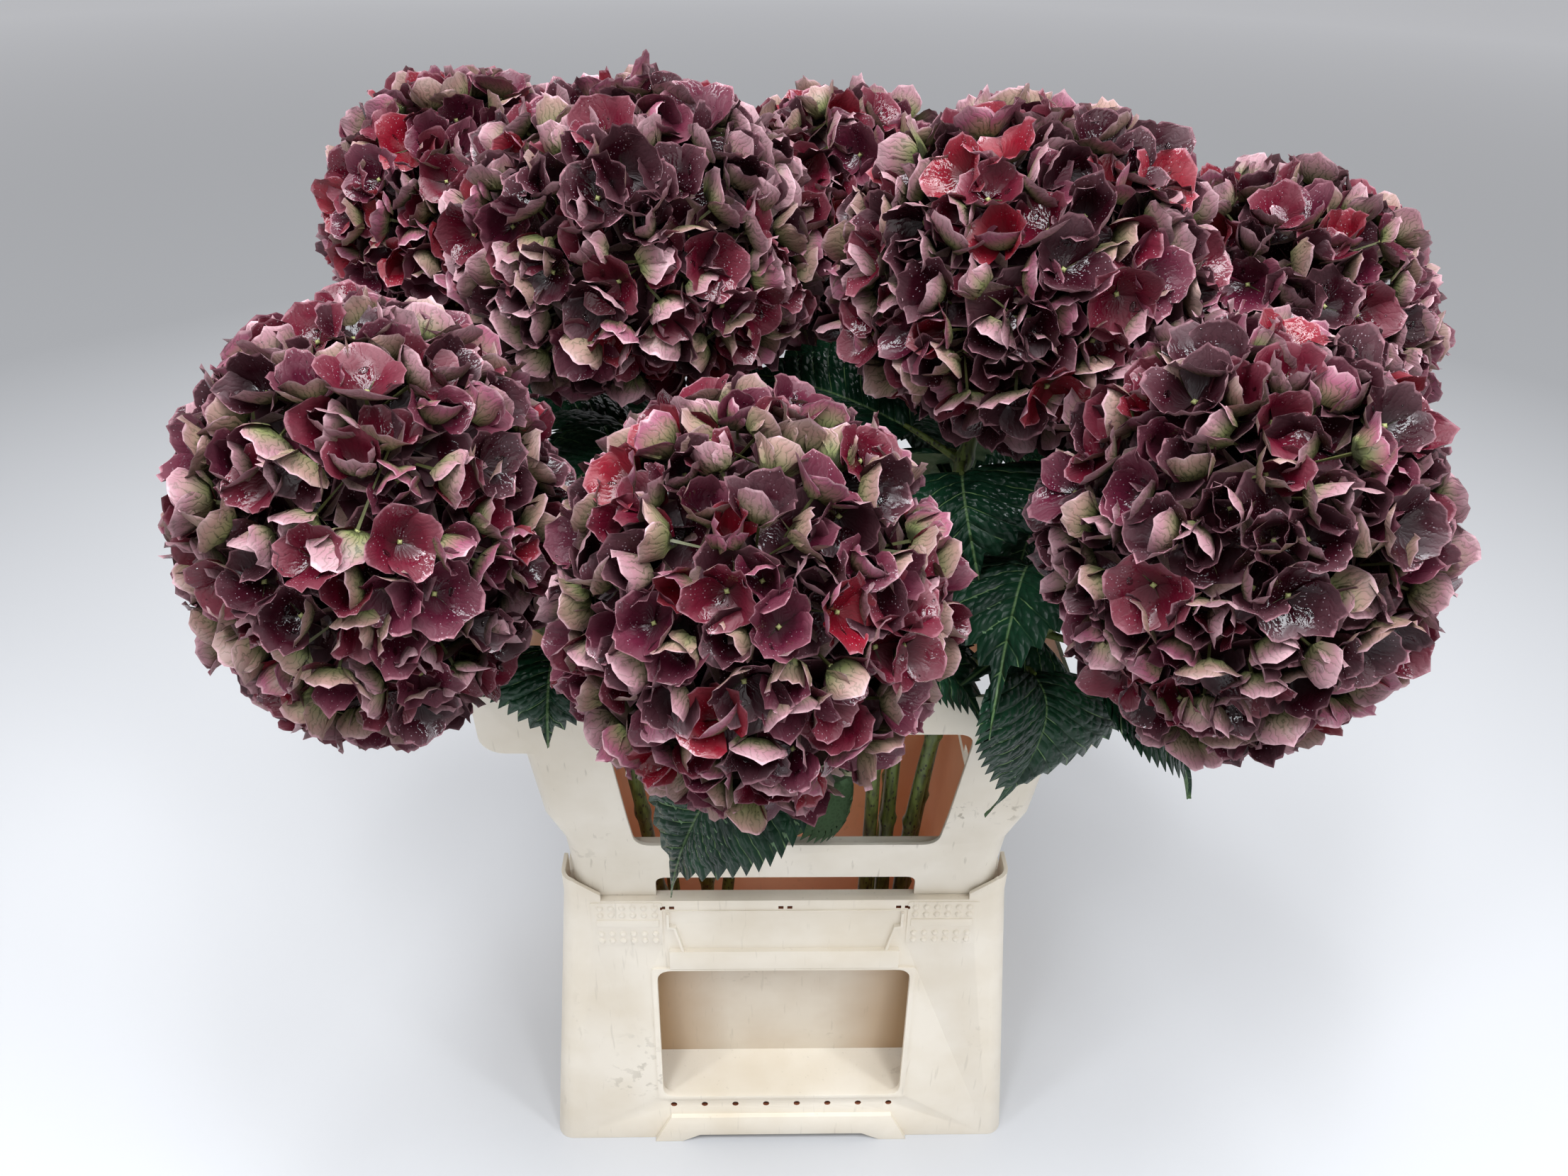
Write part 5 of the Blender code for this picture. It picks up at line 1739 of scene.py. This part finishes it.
def head_points(name, chosen):
    """The places, facings, variants and sizes of a head's florets, by the rule of its solid."""
    shoot = SHOOTS[name]
    rng = random.Random(chosen.seed + list(SHOOTS).index(name))
    centre, axis = Vector(shoot.head), head_axis(shoot)
    half = Vector(shoot.half_size)
    planes = neighbours(name)
    to_axis = axis.to_track_quat("Z", "Y")
    places, facings, variants, sizes = [], [], [], []
    for i in range(chosen.count):
        height = 1 - FLORET_SPREAD * (i + 0.5) / chosen.count
        around = i * GOLDEN_TURN + rng.uniform(-0.10, 0.10)
        out = to_axis @ spiral_way(height, around)
        reach = Vector((out.x * half.x, out.y * half.y, out.z * half.z))
        reach *= underside(out, axis) * rng.uniform(0.95, 1.0)
        facing = Vector((out.x / half.x, out.y / half.y, out.z / half.z)).normalized()
        tone = rng.choices(range(len(FLORET_TONES)), TONE_WEIGHTS[name])[0]
        shape = rng.randrange(SHAPES_PER_TONE)
        seat = reach - facing * SEAT_DEPTHS[shape]
        for normal, limit in planes:
            over = seat.dot(normal) + SEAT_GAP - limit
            if over > 0:
                seat -= normal * over
        tilt = Vector((rng.gauss(0, 1), rng.gauss(0, 1), rng.gauss(0, 1))) * TILT
        if seat.length < head_radius(shoot) * LEAST_SEAT:
            continue
        places.append(centre + seat)
        facings.append(tuple((facing + tilt).normalized()))
        variants.append(tone * SHAPES_PER_TONE + shape)
        sizes.append(rng.uniform(0.90, 1.10))
    # Broad dark florets of an inner layer close the head behind the outer ones
    for i in range(INNER_COUNT):
        height = 1 - INNER_SPREAD * (i + 0.5) / INNER_COUNT
        out = to_axis @ spiral_way(height, i * GOLDEN_TURN + 1.0)
        reach = Vector((out.x * half.x, out.y * half.y, out.z * half.z))
        reach *= underside(out, axis) * rng.uniform(*INNER_REACH)
        places.append(centre + reach)
        facings.append(tuple(out))
        variants.append(len(FLORET_TONES) * SHAPES_PER_TONE + rng.randrange(INNER_SHAPES))
        sizes.append(rng.uniform(1.15, 1.35))
    return places, {
        "facing": ("FLOAT_VECTOR", facings), "variant": ("INT", variants), "size": ("FLOAT", sizes)}


def plain_material(name, colour, values):
    """A soft green or watery finish whose colour is broken up a little by specks of 3 mm."""
    made, add, place, shader = start_material(name, values)
    cloud = add(NOISE, {"Vector": place, "Scale": 300.0, "Detail": 2.0})
    dark = tuple(c * 0.7 for c in colour)
    feed(shader, {"Base Color": add(RAMP, [cloud], [(0.3, dark), (0.7, colour)])})
    return made


class HYDRANGEA_OT_heads(bpy.types.Operator):
    """Fill the flower heads with florets, their buds and stalks, and beads of water"""

    bl_idname = "hydrangea.heads"
    bl_label = "Flower heads"

    def execute(self, context):
        chosen = context.scene.hydrangea_flowers
        petals = petal_materials(chosen)
        # Buds and stalks are plain living green, matt; the water is clear and mirror-smooth
        green = [plain_material("yellow-green bud", tuple(chosen.bud), {"Roughness": 0.5}),
                 plain_material("floret stalk", tuple(chosen.stalk), {"Roughness": 0.5})]
        water = [plain_material("bead of water", (1.0, 1.0, 1.0), {
            "Roughness": 0.02, "IOR": 1.33, "Transmission Weight": 1.0})]
        rng = random.Random(chosen.seed)
        floret_skins, drop_skins, stalk_skins = [], [], []
        for inside, back in FLORET_TONES:
            for opening in OPENINGS:
                skin, drops = floret_shape(rng, opening, chosen, inside, back, SEPAL_ROWS, SEPAL_COLUMNS)
                floret_skins.append(skin)
                drop_skins.append(drop_skin(drops))
                stalk_skins.append(stalk_shape(rng))
        for _ in range(INNER_SHAPES):
            skin, _ = floret_shape(rng, INNER_OPENING, chosen, "black_wine", "olive_pink", INNER_ROWS,
                                   INNER_COLUMNS)
            floret_skins.append(skin)
            drop_skins.append(Skin())
            stalk_skins.append(Skin())
        kinds = {
            "sepals": ("petal", family("floret", floret_skins, petals), petals),
            "stalks": ("stem", family("stalk", stalk_skins, green), green),
            "water": ("petal", family("bead", drop_skins, water), water),
        }
        trees = {kind: scatter_tree(kind + " on a head", kinds[kind][2]) for kind in kinds}
        for number, (name, shoot) in enumerate(SHOOTS.items()):
            places, attributes = head_points(name, chosen)
            for kind, (slot, group, _) in kinds.items():
                piece = scatter(kind + "_" + name, places, trees[kind],
                                {"Variants": group, "Seed": chosen.seed + number}, attributes)
                if kind == "stalks":
                    join_into(piece, head_branches(name, shoot, green[1]))
                settle(piece, slot, *(["head_" + name] if kind == "sepals" else []))
        for _, group, _ in kinds.values():
            clear_family(group)
        return {"FINISHED"}


def join_into(piece, other):
    """Adds another object's mesh to a piece and removes the other object."""
    offset = len(piece.data.materials)
    for material in other.data.materials:
        piece.data.materials.append(material)
    for face in other.data.polygons:
        face.material_index += offset
    shape = bmesh.new()
    shape.from_mesh(piece.data)
    shape.from_mesh(other.data)
    shape.to_mesh(piece.data)
    shape.free()
    bpy.data.objects.remove(other)


def head_branches(name, shoot, material):
    """The branches that spread inside a head, from the end of its stem to the floret stalks."""
    centre, axis = Vector(shoot.head), head_axis(shoot)
    radius = head_radius(shoot)
    hub = centre - axis * radius * HUB_SHARE
    to_axis = axis.to_track_quat("Z", "Y")
    skin = Skin()
    for i in range(BRANCH_COUNT):
        out = to_axis @ spiral_way(1 - BRANCH_SPREAD * (i + 0.5) / BRANCH_COUNT, i * GOLDEN_TURN)
        end = centre + out * radius * BRANCH_REACH
        bend = hub + axis * radius * 0.45 + out * radius * 0.10
        points = [bezier(hub, bend, end, t / 6) for t in range(7)]
        radii = [0.0026 - 0.0014 * t / 6 for t in range(7)]
        skin.add(*loft(tube_rings(points, radii, 6)))
    return skin.build("branches_" + name, [material], 60)


class StageSettings(bpy.types.PropertyGroup):
    """The floor and the studio light."""

    floor: colour_property("Floor", "Colour of the floor", "#C1C1C3")
    # The floor's far colour is painted light, paler where the lamps' light falls off
    painted_light_far_floor: colour_property("Far floor", "Colour of the floor far back", "#FCFCFE")
    floor_radius: length_property("Floor radius", "Radius of the round floor", 14.0)
    top_power: power_property("Top light", "Power of the soft light from behind", 12.0)
    fill_power: power_property("Fill light", "Power of the light by the camera", 9.0)
    strip_power: power_property("Strip lights", "Power of each long light overhead", 32.0)
    glow_power: power_property(
        "Light through the walls", "Power of the light inside the container", 0.11)
    room: colour_property("Room", "Colour of the even light all round", "#F2F3F6")
    sky: bpy.props.FloatProperty(
        name="Room light", description="Strength of the even light all round", default=0.53)


def set_camera():
    """The camera at the photograph's angle, turned by its pitch, yaw and roll."""
    pitch, yaw, roll = (math.radians(a) for a in (CAMERA_PITCH, -CAMERA_YAW, CAMERA_ROLL))
    turn = Matrix.Rotation(yaw, 3, "Z")
    right = turn @ Vector((1, 0, 0))
    up = turn @ Vector((0, math.sin(pitch), math.cos(pitch)))
    back = turn @ Vector((0, -math.cos(pitch), math.sin(pitch)))
    rolled_right = right * math.cos(roll) + up * math.sin(roll)
    rolled_up = up * math.cos(roll) - right * math.sin(roll)
    data = bpy.data.cameras.new("camera")
    data.sensor_fit = "HORIZONTAL"
    data.sensor_width = SENSOR_WIDTH
    data.lens = FOCAL_PIXELS * SENSOR_WIDTH / PHOTO_WIDTH
    data.clip_end = 100
    camera = link_object("camera", data)
    basis = Matrix((rolled_right, rolled_up, back)).transposed()
    camera.matrix_world = Matrix.Translation(CAMERA_PLACE) @ basis.to_4x4()
    bpy.context.scene.camera = camera


def lay_floor(chosen):
    """A round painted floor, matt, with painted light: a ring of painted shade a little darker behind the
    object, and paler far back where the lamps' light falls off.
    """
    material, add, place, shader = start_material("painted studio floor", {"Roughness": 0.9})
    reach = add("ShaderNodeVectorMath", [place], operation="LENGTH")
    share = add(MATH, [reach.outputs["Value"], chosen.floor_radius], operation="DIVIDE")
    near, far = tuple(chosen.floor), tuple(chosen.painted_light_far_floor)
    # Painted shade in a darker ring about 2 m out, and painted light that makes the floor paler far back
    feed(shader, {"Base Color": add(RAMP, [share], [
        (0.06, near), (0.16, blend(near, (0, 0, 0), 0.25)), (0.50, far)])})
    ring = [Vector((c * chosen.floor_radius, s * chosen.floor_radius, -FLOOR_DROP))
            for c, s in circle(96)]
    floor = new_object("floor", ring, [tuple(range(len(ring)))], [material])


class HYDRANGEA_OT_stage(bpy.types.Operator):
    """Set the camera, the pale floor and the soft studio light"""

    bl_idname = "hydrangea.stage"
    bl_label = "Stage"

    def execute(self, context):
        chosen = context.scene.hydrangea_stage
        set_camera()
        lay_floor(chosen)
        # A soft light from above and behind, a fill by the camera, and the long lights overhead
        lights = [
            ("top light", (0.1, 1.0, 2.6), (0, 0, 0.5), (1.8, 1.8), chosen.top_power, (1, 1, 1)),
            ("fill light", (0.6, -2.4, 1.2), (0, 0, 0.4), (1.6, 1.6), chosen.fill_power, (1, 1, 1)),
        ]
        for i in range(STRIP_COUNT):
            x = (i - (STRIP_COUNT - 1) / 2) * STRIP_SPACING
            lights.append((f"strip light {i}", (x, -0.75, 2.5), (x * 0.3, -0.2, 0.5), STRIP_SIZE,
                           chosen.strip_power, COOL_WHITE))
        for name, place, aim, size, power, tint in lights:
            lamp = bpy.data.lights.new(name, "AREA")
            lamp.shape = "ELLIPSE"
            lamp.size, lamp.size_y = size
            lamp.energy = power
            lamp.color = tint
            holder = link_object(name, lamp)
            holder.location = place
            holder.rotation_euler = (Vector(place) - Vector(aim)).to_track_quat("Z", "Y").to_euler()
        # What daylight the thin walls let through into the container
        glow = bpy.data.lights.new("light through the walls", "POINT")
        glow.energy, glow.shadow_soft_size = chosen.glow_power, GLOW_RADIUS
        holder = link_object("light through the walls", glow)
        holder.location = GLOW_PLACE
        holder.visible_camera = False
        world = bpy.data.worlds.new("room")
        world.use_nodes = True
        feed(world.node_tree.nodes["Background"], {"Color": rgba(chosen.room), "Strength": chosen.sky})
        context.scene.world = world
        context.scene.view_settings.view_transform = "Standard"
        return {"FINISHED"}


class HYDRANGEA_PT_panel(bpy.types.Panel):
    """The sidebar panel with every step"""

    bl_label = "Hydrangea stems"
    bl_space_type = "VIEW_3D"
    bl_region_type = "UI"
    bl_category = "Hydrangea"

    def draw(self, context):
        for step in STEPS:
            self.layout.operator(step.bl_idname)


STEPS = (
    HYDRANGEA_OT_stage, HYDRANGEA_OT_bucket, HYDRANGEA_OT_domes, HYDRANGEA_OT_collar,
    HYDRANGEA_OT_stems, HYDRANGEA_OT_leaves, HYDRANGEA_OT_heads,
)
SETTINGS = {
    "hydrangea_container": ContainerSettings,
    "hydrangea_stems": StemSettings,
    "hydrangea_flowers": FlowerSettings,
    "hydrangea_stage": StageSettings,
}


def register():
    for name, group in SETTINGS.items():
        bpy.utils.register_class(group)
        setattr(bpy.types.Scene, name, bpy.props.PointerProperty(type=group))
    for step in STEPS:
        bpy.utils.register_class(step)
    bpy.utils.register_class(HYDRANGEA_PT_panel)


def unregister():
    bpy.utils.unregister_class(HYDRANGEA_PT_panel)
    for step in reversed(STEPS):
        bpy.utils.unregister_class(step)
    for name, group in SETTINGS.items():
        delattr(bpy.types.Scene, name)
        bpy.utils.unregister_class(group)


def main():
    register()
    bpy.ops.hydrangea.stage()
    bpy.ops.hydrangea.bucket()
    bpy.ops.hydrangea.domes()
    bpy.ops.hydrangea.collar()
    bpy.ops.hydrangea.stems()
    bpy.ops.hydrangea.leaves()
    bpy.ops.hydrangea.heads()


if __name__ == "__main__":
    main()
